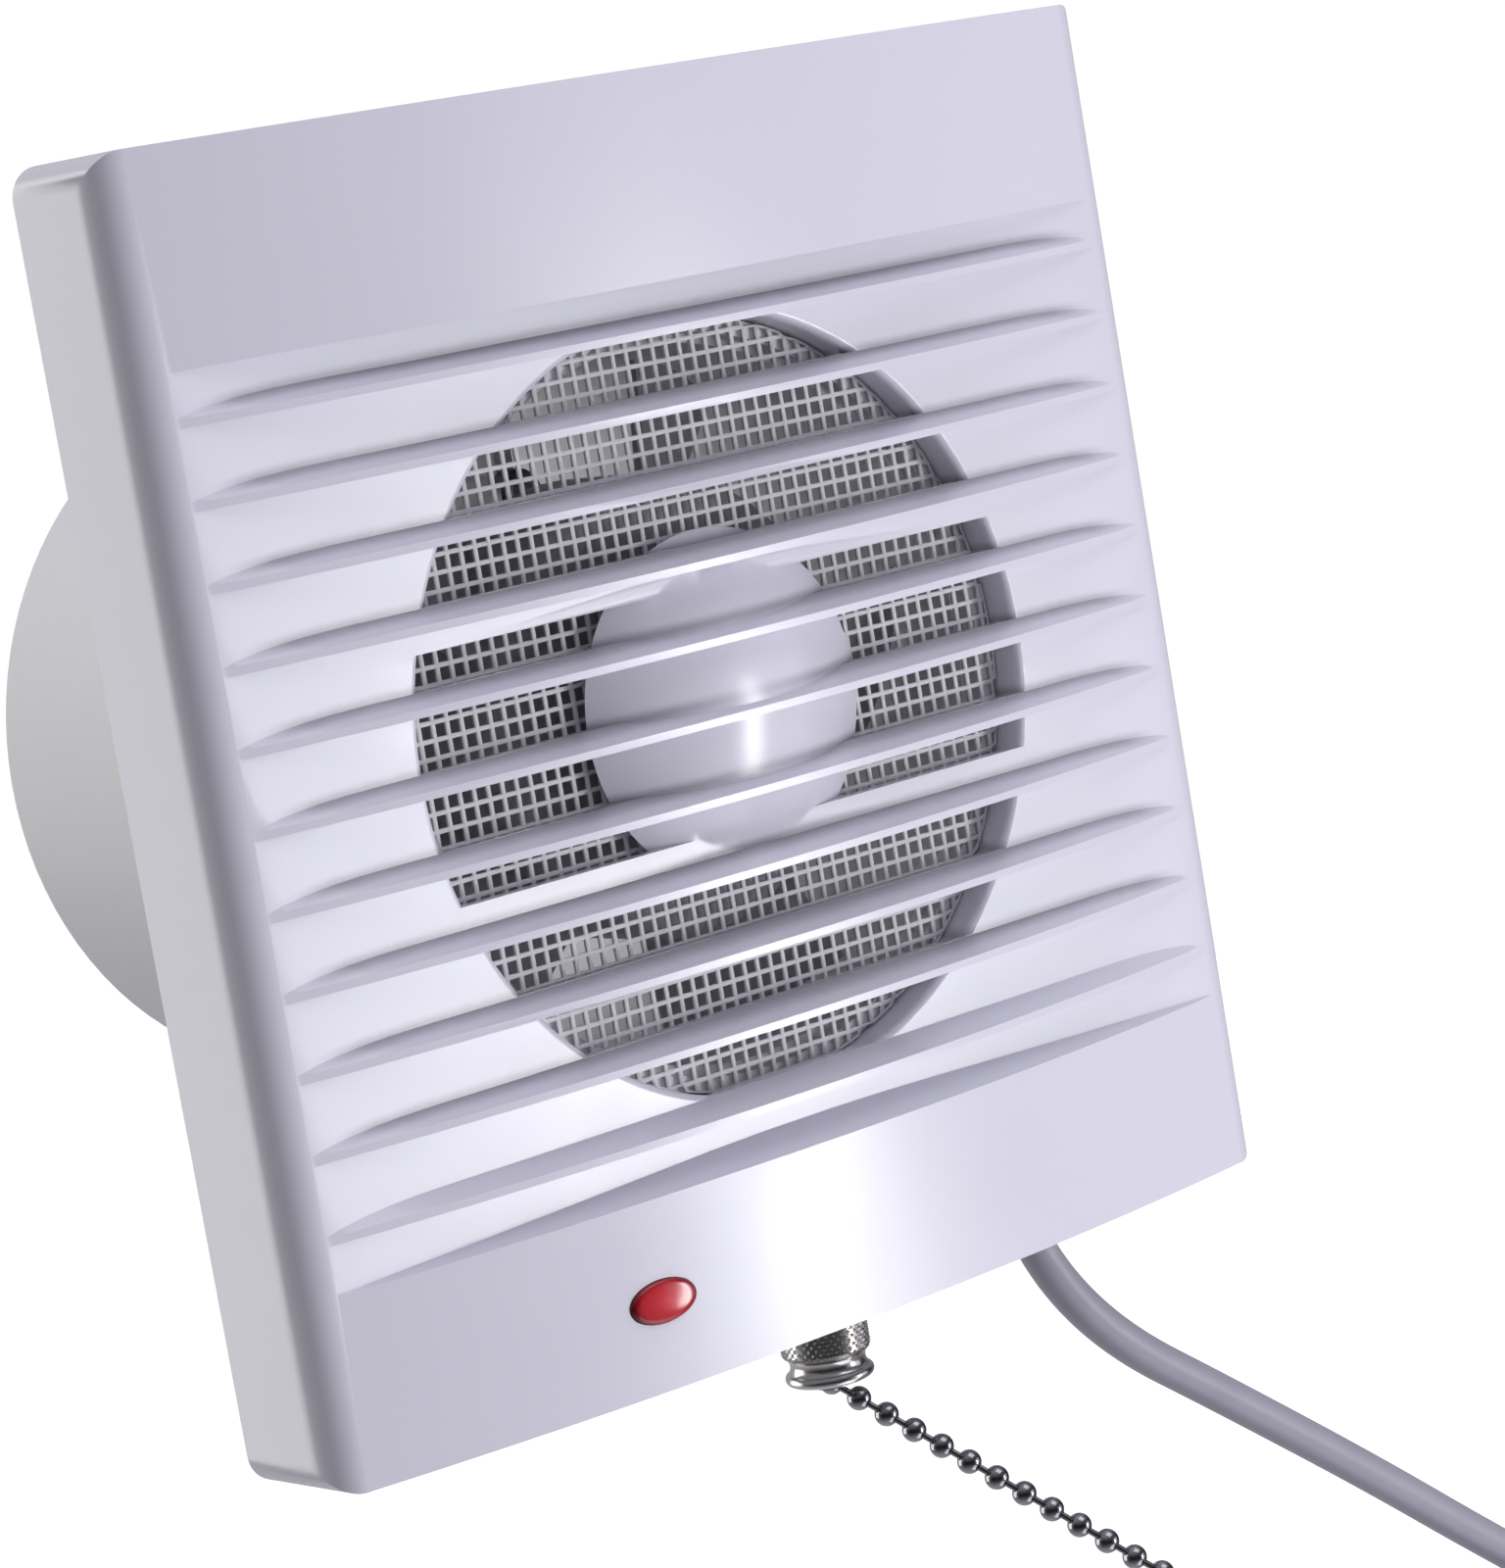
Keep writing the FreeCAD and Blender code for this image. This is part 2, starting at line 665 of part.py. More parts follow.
def impeller_clip():
    return ring_y(SHAFT_R + FIT_CLEAR, CLIP_R, HUB_FRONT - CLIP_THICK, HUB_FRONT)


def motor_shaft():
    end = CAN_BACK - CAN_WALL - BUSH_LENGTH / 4
    return rod_y(SHAFT_R, HUB_FRONT - CLIP_THICK - SHAFT_NOSE, end)


def rotor_core():
    return ring_y(SHAFT_R + FIT_CLEAR, ROTOR_R, CORE_FRONT, CORE_FRONT + CORE_LENGTH)


def motor_can():
    boss_front = CAN_BACK - CAN_WALL - BUSH_LENGTH
    shell = rod_y(CAN_R, CAN_FRONT, CAN_BACK).cut(rod_y(CAN_BORE, CAN_FRONT - 1, CAN_BACK - CAN_WALL))
    boss = ring_y(BUSH_R, BUSH_R + BUSH_BOSS_WALL, boss_front, CAN_BACK - CAN_WALL)
    return union([shell, boss])


def motor_cap():
    front = CAN_FRONT - CAP_THICK
    pieces = [
        rod_y(CAN_R, front, CAN_FRONT),
        rod_y(BUSH_R + BUSH_BOSS_WALL, CAN_FRONT - BUSH_LENGTH, CAN_FRONT),
    ]
    for angle in boss_angles():
        x, z = on_circle(angle)
        pieces.append(rod_y(BOSS_R, front, CAN_FRONT, x, z))
        ear = box(CAN_R - BOSS_R, BOSS_CIRCLE, front, CAN_FRONT, -BOSS_R, BOSS_R)
        pieces.append(around_y(ear, -angle))
    cap = union(pieces).cut(rod_y(BUSH_R, CAN_FRONT - BUSH_LENGTH - 1, CAN_FRONT + 1))
    for angle in boss_angles():
        x, z = on_circle(angle)
        cap = cap.cut(rod_y(MOTOR_SCREW_R + SCREW_CLEAR, front - 1, CAN_FRONT + 1, x, z))
    return cap


def motor_screws():
    screws = []
    front = CAN_FRONT - CAP_THICK
    for angle in boss_angles():
        x, z = on_circle(angle)
        head = rod_y(MOTOR_SCREW_HEAD_R, front - MOTOR_SCREW_HEAD, front, x, z)
        shank = rod_y(MOTOR_SCREW_R, front, front + MOTOR_SCREW_LENGTH, x, z)
        screws.append(union([head, shank]))
    return Part.makeCompound(screws)


def bush(start):
    return ring_y(SHAFT_R + RUN_CLEAR, BUSH_R, start, start + BUSH_LENGTH)


def stator_core():
    back = CORE_FRONT + CORE_LENGTH
    inner = CAN_BORE - STATOR_BACK
    bore = ROTOR_R + AIR_GAP
    pieces = [ring_y(inner, CAN_BORE - WINDING_GAP, CORE_FRONT, back)]
    for i in range(POLE_COUNT):
        pole = box(bore - 1, inner + 1, CORE_FRONT, back, -POLE_WIDTH / 2, POLE_WIDTH / 2)
        pieces.append(around_y(pole, FIRST_POLE + 360 / POLE_COUNT * i))
    return union(pieces).cut(rod_y(bore, CORE_FRONT - 1, back + 1))


def pole_sleeve(hole_gap, wall, start, end):
    half = POLE_WIDTH / 2 + hole_gap
    front = CORE_FRONT - hole_gap
    back = CORE_FRONT + CORE_LENGTH + hole_gap
    outer = box(start, end, front - wall, back + wall, -half - wall, half + wall)
    return outer.cut(box(start - 1, end + 1, front, back, -half, half))


def on_poles(shape):
    turns = [FIRST_POLE + 360 / POLE_COUNT * i for i in range(POLE_COUNT)]
    return Part.makeCompound([around_y(shape, turn) for turn in turns])


def winding_start():
    return ROTOR_R + AIR_GAP * 2


def coil_bobbins():
    start = winding_start()
    return on_poles(pole_sleeve(WINDING_GAP, BOBBIN_WALL, start, start + COIL_HEIGHT + 2 * COIL_CHEEK))


def stator_coils():
    start = winding_start() + COIL_CHEEK
    return on_poles(pole_sleeve(2 * WINDING_GAP + BOBBIN_WALL, COIL_THICK, start, start + COIL_HEIGHT))


def drum_place():
    return DRUM_X, CASE_FLOOR + DRUM_RISE


def switch_case():
    half = CASE_WIDTH / 2
    shell = box(-half, half, CASE_FRONT, CASE_BACK, CASE_FLOOR, CASE_TOP)
    hollow = box(-half + CASE_WALL, half - CASE_WALL, CASE_FRONT + CASE_WALL, CASE_BACK + 1,
                 CASE_FLOOR + CASE_WALL, CASE_TOP - CASE_WALL)
    guide = rod_z(PLUNGER_R + THREAD_CLEAR, CASE_FLOOR - 1, CASE_FLOOR + CASE_WALL + 1, 0, SWITCH_Y)
    x, z = drum_place()
    pin_hole = rod_y(DRUM_PIN_R + PLUNGER_CLEAR, CASE_FRONT - 1, CASE_FRONT + CASE_WALL + 1, x, z)
    return shell.cut(hollow).cut(guide).cut(pin_hole)


def switch_lid():
    half = CASE_WIDTH / 2
    x, z = drum_place()
    lid = box(-half, half, CASE_BACK, CASE_BACK + CASE_WALL, CASE_FLOOR, CASE_TOP)
    return lid.cut(rod_y(DRUM_PIN_R + PLUNGER_CLEAR, CASE_BACK - 1, CASE_BACK + CASE_WALL + 1, x, z))


def switch_bushing():
    tube = rod_z(THREAD_R, -HALF - BUSHING_DROP, CASE_FLOOR, 0, SWITCH_Y)
    return tube.cut(rod_z(PLUNGER_R + PLUNGER_CLEAR, -HALF - BUSHING_DROP - 1, CASE_FLOOR + 1, 0, SWITCH_Y))


def switch_locknut():
    radius = LOCKNUT_FLATS / math.sqrt(3)
    bottom = FLOOR_Z + NUT_GAP
    turns = [math.radians(60 * i) for i in range(6)]
    corners = [V(radius * math.cos(a), SWITCH_Y + radius * math.sin(a), bottom) for a in turns]
    blank = Part.Face(Part.makePolygon(corners + corners[:1])).extrude(V(0, 0, LOCKNUT_THICK))
    return blank.cut(rod_z(THREAD_R + FIT_CLEAR, bottom - 1, bottom + LOCKNUT_THICK + 1, 0, SWITCH_Y))


def knurled_nut():
    knurl_end = NUT_TOP - NUT_KNURL_LENGTH
    lip = NUT_MOUTH + NUT_LIP_ROUND
    lip_top = lip + NUT_LIP_ROUND
    bore = THREAD_R + FIT_CLEAR
    shoulder = -HALF - BUSHING_DROP - NUT_GAP
    outline = [
        (bore, NUT_TOP), (NUT_KNURL_R - NUT_EDGE, NUT_TOP), (NUT_KNURL_R, NUT_TOP - NUT_EDGE),
        (NUT_KNURL_R, knurl_end + NUT_EDGE), (NUT_KNURL_R - NUT_EDGE, knurl_end),
        (NUT_WAIST_R, knurl_end), (NUT_WAIST_R, lip_top),
        (NUT_LIP_R - NUT_EDGE, lip_top), (NUT_LIP_R, lip), (NUT_LIP_R - NUT_LIP_ROUND, NUT_MOUTH),
        (NUT_MOUTH_R, NUT_MOUTH), (NUT_MOUTH_R, shoulder), (bore, shoulder),
    ]
    return revolve_z(outline, 0, SWITCH_Y)


def plunger_head_bottom():
    return CASE_TOP - CASE_WALL - PLUNGER_TOP_GAP - PLUNGER_HEAD


def switch_plunger():
    bottom = plunger_head_bottom()
    head = rod_z(PLUNGER_HEAD_R, bottom, bottom + PLUNGER_HEAD, 0, SWITCH_Y)
    stem = rod_z(PLUNGER_R, CHAIN_PIVOT.z, bottom, 0, SWITCH_Y)
    socket = BEAD / 2 + CUP_CLEAR
    cup = Part.makeSphere(socket + CUP_WALL, CHAIN_PIVOT)
    rim = CHAIN_PIVOT.z - CUP_RIM_DROP
    below = box(-BEAD_PITCH, BEAD_PITCH, SWITCH_Y - BEAD_PITCH, SWITCH_Y + BEAD_PITCH, rim - BEAD_PITCH, rim)
    return union([head, stem, cup]).cut(Part.makeSphere(socket, CHAIN_PIVOT)).cut(below)


def switch_spring():
    bottom = CASE_FLOOR + CASE_WALL + SPRING_END_GAP + SPRING_WIRE / 2
    top = plunger_head_bottom() - SPRING_END_GAP - SPRING_WIRE / 2
    end = SPRING_TURNS * 2 * math.pi

    def curve(u):
        height = bottom + (top - bottom) * u / end
        return V(SPRING_R * math.cos(u), SWITCH_Y + SPRING_R * math.sin(u), height)

    edges = wound_edges(curve, end)
    spring = sweep(edges, SPRING_WIRE / 2, curve(0), tangent_of(curve, 0))
    report_tube("switch_spring", spring, edges, SPRING_WIRE / 2)
    print(f"switch_spring: least gap {least_gap(curve, end, SPRING_WIRE):.2f}")
    return spring


def switch_drum():
    x, z = drum_place()
    body = rod_y(DRUM_R, CASE_FRONT + CASE_WALL + DRUM_END_GAP, CASE_BACK - DRUM_END_GAP, x, z)
    pin = rod_y(DRUM_PIN_R, CASE_FRONT + DRUM_END_GAP, CASE_BACK + CASE_WALL - DRUM_END_GAP, x, z)
    mark = box(x + DRUM_R * 0.55, x + DRUM_R, SWITCH_Y - 1, SWITCH_Y + 1, z - DRUM_R, z + DRUM_R)
    return union([body, pin]).cut(mark)


def switch_contacts():
    left = -CASE_WIDTH / 2 + CASE_WALL
    leaves = []
    for side in (-1, 1):
        middle = SWITCH_Y + side * CONTACT_SPACING / 2
        leaves.append(box(left, left + CONTACT_THICK, middle - CONTACT_WIDTH / 2, middle + CONTACT_WIDTH / 2,
                          CASE_FLOOR + CASE_WALL, CASE_TOP - CASE_WALL))
    return Part.makeCompound(leaves)


def chain_point(beads):
    return CHAIN_PIVOT + V(CHAIN_DIRECTION).normalize() * (BEAD_PITCH * beads)


def pull_chain():
    direction = V(CHAIN_DIRECTION).normalize()
    pieces = [Part.makeSphere(BEAD / 2, chain_point(i)) for i in range(BEAD_COUNT)]
    length = BEAD_PITCH * (BEAD_COUNT - 1) + BEAD / 2 + PULL_SOCKET
    pieces.append(Part.makeCylinder(BEAD_LINK_R, length, CHAIN_PIVOT, direction))
    return union(pieces)


def chain_pull():
    direction = V(CHAIN_DIRECTION).normalize()
    neck = PULL_LENGTH * PULL_NECK_SHARE
    waist = (neck + PULL_LENGTH) / 2
    bore = BEAD_LINK_R + FIT_CLEAR
    roof = neck + PULL_WALL
    outline = [
        (bore, 0), (PULL_TOP_R - PULL_WALL, 0), (PULL_TOP_R, -PULL_WALL), (PULL_TOP_R, -neck),
        (PULL_TOP_R + PULL_FLARE, -waist), (PULL_RIM_R, -PULL_LENGTH + PULL_WALL), (PULL_RIM_R, -PULL_LENGTH),
        (PULL_RIM_R - PULL_WALL, -PULL_LENGTH), (PULL_TOP_R - PULL_WALL, -roof), (bore, -roof),
    ]
    bell = revolve_z(outline)
    bell.rotate(V(0, 0, 0), V(0, 0, -1).cross(direction), math.degrees(V(0, 0, -1).getAngle(direction)))
    bell.translate(chain_point(BEAD_COUNT - 1) + direction * (BEAD / 2 + CUP_CLEAR))
    return bell


def lamp_flange_front():
    return bow_y(abs(LAMP_X) + LAMP_WIDTH / 2 + LAMP_FLANGE, WALL) + LAMP_CLEAR


def lamp_lens():
    front = bow_y(LAMP_X) - LAMP_PROUD
    flange = lamp_flange_front()
    window = oval_y(LAMP_WIDTH, LAMP_HEIGHT, front, flange, LAMP_X, LAMP_Z)
    rim = [e for e in window.Edges if abs(e.BoundBox.YMax - front) < 1e-6]
    window = window.makeFillet(LAMP_PROUD, rim)
    base = oval_y(LAMP_WIDTH + 2 * LAMP_FLANGE, LAMP_HEIGHT + 2 * LAMP_FLANGE, flange,
                  flange + LAMP_FLANGE_THICK, LAMP_X, LAMP_Z)
    return union([window, base])


def lamp_holder():
    front = lamp_flange_front() + LAMP_FLANGE_THICK
    half_w = LAMP_WIDTH / 2 + LAMP_FLANGE
    half_h = LAMP_HEIGHT / 2 + LAMP_FLANGE
    block = box(LAMP_X - half_w, LAMP_X + half_w, front, front + BULB_LENGTH + HOLDER_WALL,
                LAMP_Z - half_h, LAMP_Z + half_h)
    return block.cut(rod_y(BULB_R + CARRIER_GAP, front - 1, front + BULB_LENGTH, LAMP_X, LAMP_Z))


def lamp_bulb():
    front = lamp_flange_front() + LAMP_FLANGE_THICK + LAMP_CLEAR
    bulb = rod_y(BULB_R, front, front + BULB_LENGTH - LAMP_CLEAR, LAMP_X, LAMP_Z)
    nose = [e for e in bulb.Edges if abs(e.BoundBox.YMax - front) < 1e-6]
    return bulb.makeFillet(BULB_R * 0.9, nose)


def cord_grommet():
    bottom = -HALF - GROMMET_FLANGE
    top = FLOOR_Z + GROMMET_FLANGE
    neck = rod_z(GROMMET_NECK_R, bottom, top, CORD_X, CORD_Y)
    flanges = [
        rod_z(GROMMET_FLANGE_R, bottom, -HALF, CORD_X, CORD_Y),
        rod_z(GROMMET_FLANGE_R, FLOOR_Z, top, CORD_X, CORD_Y),
    ]
    return union([neck] + flanges).cut(CORD_BORE)


def cord_clamp():
    bottom = FLOOR_Z + CLAMP_RISE
    half = CLAMP_WIDTH / 2
    block = box(CLAMP_X - half, CLAMP_X + half, -PLATE_THICK - CLAMP_DEPTH, -PLATE_THICK,
                bottom, bottom + CLAMP_HEIGHT).cut(CORD_BORE)
    for x, z in clamp_screw_places():
        block = block.cut(rod_y(SMALL_SCREW_R + SCREW_CLEAR, -PLATE_THICK - CLAMP_DEPTH - 1, 0, x, z))
    return block


def small_screw(x, z, seat, grip):
    head = rod_y(SMALL_HEAD_R, seat - SMALL_HEAD, seat, x, z)
    return union([head, rod_y(SMALL_SCREW_R, seat, seat + grip, x, z)])


def clamp_screws():
    seat = -PLATE_THICK - CLAMP_DEPTH
    grip = CLAMP_DEPTH + PLATE_THICK - 1
    return Part.makeCompound([small_screw(x, z, seat, grip) for x, z in clamp_screw_places()])


def terminal_ways():
    step = BLOCK_WIDTH / BLOCK_WAYS
    return [BLOCK_LEFT + step * (i + 0.5) for i in range(BLOCK_WAYS)]


def terminal_block():
    bottom = FLOOR_Z + BLOCK_RISE
    top = bottom + BLOCK_HEIGHT
    front = -PLATE_THICK - BLOCK_DEPTH
    block = box(BLOCK_LEFT, BLOCK_LEFT + BLOCK_WIDTH, front, -PLATE_THICK, bottom, top)
    for x in terminal_ways():
        block = block.cut(rod_z(WIRE_HOLE_R, bottom - 1, top + 1, x, -PLATE_THICK - BLOCK_DEPTH / 3))
        block = block.cut(rod_y(SMALL_SCREW_R + CARRIER_GAP, front - 1, -PLATE_THICK - BLOCK_DEPTH / 3,
                                x, bottom + BLOCK_HEIGHT / 2))
    return block


def terminal_screws():
    front = -PLATE_THICK - BLOCK_DEPTH
    middle = FLOOR_Z + BLOCK_RISE + BLOCK_HEIGHT / 2
    grip = BLOCK_DEPTH * 2 / 3 - WIRE_HOLE_R
    return Part.makeCompound([small_screw(x, middle, front, grip) for x in terminal_ways()])


def route_points():
    return [V(x, CORD_Y, height - HALF) for x, height in CORD_ROUTE]


def rounded_route(points):
    edges = []
    radii = []
    cursor = points[0]
    for a, b, c in zip(points, points[1:], points[2:]):
        back = (a - b).normalize()
        onward = (c - b).normalize()
        turn = math.pi - back.getAngle(onward)
        reach = ARC_SHARE * min((a - b).Length, (c - b).Length)
        radius = reach / math.tan(turn / 2)
        bisector = (back + onward).normalize()
        middle = b + bisector * (radius / math.cos(turn / 2) - radius)
        edges.append(Part.LineSegment(cursor, b + back * reach).toShape())
        edges.append(arc_through(b + back * reach, middle, b + onward * reach))
        radii.append(radius)
        cursor = b + onward * reach
    edges.append(Part.LineSegment(cursor, points[-1]).toShape())
    print("power_cord radii:", " ".join(f"{r:.0f}" for r in radii))
    return edges


def power_cord():
    points = route_points()
    edges = rounded_route(points)
    tube = sweep(edges, CORD_R, points[0], points[1] - points[0])
    report_tube("power_cord", tube, edges, CORD_R)
    return tube


def coil_heading():
    points = route_points()
    return (points[-1] - points[-2]).normalize()


def coil_inward():
    heading = coil_heading()
    return V(heading.z, 0, -heading.x)


def coil_centre():
    return route_points()[-1] + coil_heading() * (2 * CORD_R) + coil_inward() * COIL_R


def coil_first_angle():
    inward = coil_inward()
    return math.atan2(-inward.z, -inward.x)


def coil_sweep_angle():
    return COIL_TURNS * 2 * math.pi + coil_first_angle() + math.pi / 2


def coil_curve(u):
    centre = coil_centre()
    half = coil_sweep_angle() / 2
    turn_in = math.pi / 2
    away = abs(u - half)
    rate = COIL_STEP / (2 * math.pi)
    if away > turn_in:
        radius = COIL_R - rate * (half - away)
    else:
        radius = COIL_R - rate * (half - turn_in) - rate * turn_in / 2 * (1 - (away / turn_in) ** 2)
    climb = min(max((u - half + turn_in) / (2 * turn_in), 0), 1)
    depth = CORD_Y - COIL_STEP * (1 - math.cos(math.pi * climb)) / 2
    angle = coil_first_angle() - u
    return V(centre.x + radius * math.cos(angle), depth, centre.z + radius * math.sin(angle))


def coil_end():
    end = coil_sweep_angle()
    leaving = tangent_of(coil_curve, end)
    return coil_curve(end) + leaving * COIL_LEAD, leaving


def cord_coil():
    end = coil_sweep_angle()
    entry = route_points()[-1]
    tip = coil_end()[0]
    first = tangent_of(coil_curve, 0)
    edges = biarc(entry, coil_heading(), coil_curve(0), first)
    edges += wound_edges(coil_curve, end)
    edges.append(Part.LineSegment(coil_curve(end), tip).toShape())
    coil = sweep(edges, CORD_R, entry, coil_heading())
    report_tube("cord_coil", coil, edges, CORD_R)
    print(f"cord_coil: least gap {least_gap(coil_curve, end, 2 * CORD_R):.2f}")
    return coil


def cord_tie():
    centre = coil_centre()
    innermost = coil_curve(coil_sweep_angle() / 2)
    near = math.hypot(innermost.x - centre.x, innermost.z - centre.z) - CORD_R - TIE_CLEAR
    far = COIL_R + CORD_R + TIE_CLEAR
    back = CORD_Y + CORD_R + TIE_CLEAR
    front = CORD_Y - COIL_STEP - CORD_R - TIE_CLEAR
    half = TIE_WIDTH / 2
    outer = box(centre.x - far - TIE_WALL, centre.x - near + TIE_WALL, front - TIE_WALL, back + TIE_WALL,
                centre.z - half, centre.z + half)
    inside = box(centre.x - far, centre.x - near, front, back, centre.z - half - 1, centre.z + half + 1)
    return outer.cut(inside)


def place_on_flex(shape):
    tip, leaving = coil_end()
    angle = math.degrees(math.atan2(leaving.z, leaving.x))
    shape.rotate(V(0, 0, 0), Y_AXIS, -angle)
    shape.translate(tip)
    return shape


def plug_body():
    neck = Part.makeCylinder(PLUG_NECK_R, PLUG_NECK_LENGTH + 1, V(0, 0, 0), V(1, 0, 0))
    half_width = PLUG_WIDTH / 2
    half_thick = PLUG_THICK / 2
    grip = box(PLUG_NECK_LENGTH, PLUG_LENGTH, -half_width, half_width, -half_thick, half_thick)
    long_edges = [e for e in grip.Edges if e.BoundBox.XLength > 1]
    body = union([neck, grip.makeFillet(PLUG_ROUND, long_edges)])
    for side in (-1, 1):
        foot = V(PLUG_LENGTH - PIN_SINK, side * PIN_SPACING / 2, 0)
        body = body.cut(Part.makeCylinder(PIN_R, PIN_SINK + 1, foot, V(1, 0, 0)))
    return place_on_flex(body)


def plug_pins():
    pins = []
    for side in (-1, 1):
        foot = V(PLUG_LENGTH - PIN_SINK, side * PIN_SPACING / 2, 0)
        pin = Part.makeCylinder(PIN_R, PIN_SINK + PIN_LENGTH, foot, V(1, 0, 0))
        tip = [e for e in pin.Edges if abs(e.BoundBox.XMin - PLUG_LENGTH - PIN_LENGTH) < 1e-6]
        pins.append(place_on_flex(pin.makeFillet(PIN_R * 0.7, tip)))
    return Part.makeCompound(pins)


CORD_BORE = sweep(rounded_route(route_points())[:BORE_EDGE_COUNT], CORD_R + CORD_CLEAR, route_points()[0],
                  route_points()[1] - route_points()[0])

NODES = {
    "front_cover": front_cover,
    "rear_housing": rear_housing,
    "insect_screen": insect_screen,
    "screen_frame": screen_frame,
    "impeller": impeller,
    "impeller_clip": impeller_clip,
    "motor_shaft": motor_shaft,
    "rotor_core": rotor_core,
    "motor_can": motor_can,
    "motor_cap": motor_cap,
    "motor_screws": motor_screws,
    "front_bush": lambda: bush(CAN_FRONT - BUSH_LENGTH),
    "rear_bush": lambda: bush(CAN_BACK - CAN_WALL - BUSH_LENGTH),
    "stator_core": stator_core,
    "coil_bobbins": coil_bobbins,
    "stator_coils": stator_coils,
    "switch_case": switch_case,
    "switch_lid": switch_lid,
    "switch_bushing": switch_bushing,
    "switch_locknut": switch_locknut,
    "knurled_nut": knurled_nut,
    "switch_plunger": switch_plunger,
    "switch_spring": switch_spring,
    "switch_drum": switch_drum,
    "switch_contacts": switch_contacts,
    "pull_chain": pull_chain,
    "chain_pull": chain_pull,
    "lamp_lens": lamp_lens,
    "lamp_bulb": lamp_bulb,
    "lamp_holder": lamp_holder,
    "terminal_block": terminal_block,
    "terminal_screws": terminal_screws,
    "cord_clamp": cord_clamp,
    "clamp_screws": clamp_screws,
    "cord_grommet": cord_grommet,
    "power_cord": power_cord,
    "cord_coil": cord_coil,
    "cord_tie": cord_tie,
    "plug_body": plug_body,
    "plug_pins": plug_pins,
}

os.makedirs("parts", exist_ok=True)
for name, make in NODES.items():
    shape = make()
    box_of = shape.BoundBox
    print(f"{name}: solids {len(shape.Solids)}, valid {shape.isValid()}, volume {shape.Volume:.1f}, "
          f"y {box_of.YMin:.1f} to {box_of.YMax:.1f}, z {box_of.ZMin:.1f} to {box_of.ZMax:.1f}")
    shape.exportStep(f"parts/{name}.step")
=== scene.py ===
import json
import math

import bmesh
import bpy
from mathutils import Matrix, Vector


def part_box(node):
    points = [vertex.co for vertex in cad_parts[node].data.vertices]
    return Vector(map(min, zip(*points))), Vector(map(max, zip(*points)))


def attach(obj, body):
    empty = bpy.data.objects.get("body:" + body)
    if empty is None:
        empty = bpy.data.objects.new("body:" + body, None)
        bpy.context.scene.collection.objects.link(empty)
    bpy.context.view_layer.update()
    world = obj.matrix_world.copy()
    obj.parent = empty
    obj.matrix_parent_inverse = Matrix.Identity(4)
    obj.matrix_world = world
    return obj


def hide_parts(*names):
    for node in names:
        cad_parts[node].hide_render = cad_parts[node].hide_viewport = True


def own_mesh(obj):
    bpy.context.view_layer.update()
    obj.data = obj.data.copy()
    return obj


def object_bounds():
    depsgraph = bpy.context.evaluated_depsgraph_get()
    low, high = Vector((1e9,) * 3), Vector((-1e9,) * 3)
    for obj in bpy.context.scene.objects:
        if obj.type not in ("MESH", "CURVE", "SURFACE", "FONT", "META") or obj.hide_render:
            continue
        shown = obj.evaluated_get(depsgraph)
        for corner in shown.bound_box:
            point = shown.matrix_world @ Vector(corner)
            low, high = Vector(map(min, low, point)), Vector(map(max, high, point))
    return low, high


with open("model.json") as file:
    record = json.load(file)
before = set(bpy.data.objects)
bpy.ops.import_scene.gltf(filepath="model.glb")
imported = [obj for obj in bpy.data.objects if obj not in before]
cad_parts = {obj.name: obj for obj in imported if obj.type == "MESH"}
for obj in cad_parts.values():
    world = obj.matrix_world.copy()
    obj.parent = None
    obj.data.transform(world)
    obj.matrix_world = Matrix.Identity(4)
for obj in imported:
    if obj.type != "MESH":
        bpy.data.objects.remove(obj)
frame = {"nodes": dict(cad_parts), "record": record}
cad_low, cad_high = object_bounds()
MM = 0.001

# Viewpoint of the photograph: a long lens to the left of the panel, a little above its middle
IMAGE_HEIGHT_PX = 1600
FOCAL_PX = 5014.6
SENSOR_MM = 36.0
EYE_MM = (-393.25, -492.57, 68.25)
VIEW_RIGHT = (0.74460, -0.64643, -0.16643)
VIEW_DOWN = (-0.20897, 0.01105, -0.97786)
VIEW_FORWARD = (0.63395, 0.76290, -0.12686)

# Flex: its route along the wall, X and Z in millimetres at one depth, and its put-away coil
FLEX_ROUTE = [
    (39.9, -67.1), (41.7, -77.4), (45.8, -87.1), (52.0, -95.6), (60.2, -103.3), (70.4, -110.6),
    (81.2, -118.5), (94.6, -128.4), (106.6, -137.5), (118.0, -146.4), (128.8, -154.6),
    (139.4, -162.9), (150.0, -171.0),
]
FLEX_Y = -8.5
FLEX_R = 2.75
COIL_R = 40.0
COIL_STEP = 6.1
COIL_TURNS = 6
COIL_LEAD = 30.0
COIL_POINTS_PER_TURN = 16
COIL_SET_OUT = 0.75

# Bowed front and its louvres: the depth of their faces, and the ledge that rises from each inner corner
BOW_R = 470.6
CROWN_Y = -25.45
FACE_Y = -18.6
LEDGE_FIRST = 48.31
LEDGE_PITCH = 9.75
LEDGE_HEIGHT = 1.72
LEDGE_END = 75.2
LEDGE_TAPER = 0.29

# Painted shade in those corners, where shadow falls: its colour, its reach in millimetres, the heights it
# lies between, and where it sets in, as shares of the louvre's depth and half length
CORNER_SHADE = (0.42, 0.415, 0.455)
SHADE_REACH = 1.5
SHADE_FULL = 0.1
SHADE_UNEVEN = 0.3
SHADE_EDGE_NOISE = 400.0
SHADE_TOP = 52.5
SHADE_BOTTOM = -45.0
SHADE_DEPTHS = (0.1, 0.7)
SHADE_ENDS = (0.98, 0.86)

# How strongly the finer layers show in every noise
NOISE_ROUGHNESS = 0.55

# Moulded plastic: scales of its drift of shade, of the flow marks in its gloss and of its grain
DRIFT_SCALE = 14.0
FLOW_SCALE = 60.0
FLOW_SPREAD = 0.10
GRAIN_SCALE = 2600.0
GRAIN_STRENGTH = 0.25
GRAIN_DEPTH = 0.00002
PLASTIC_IOR = 1.5

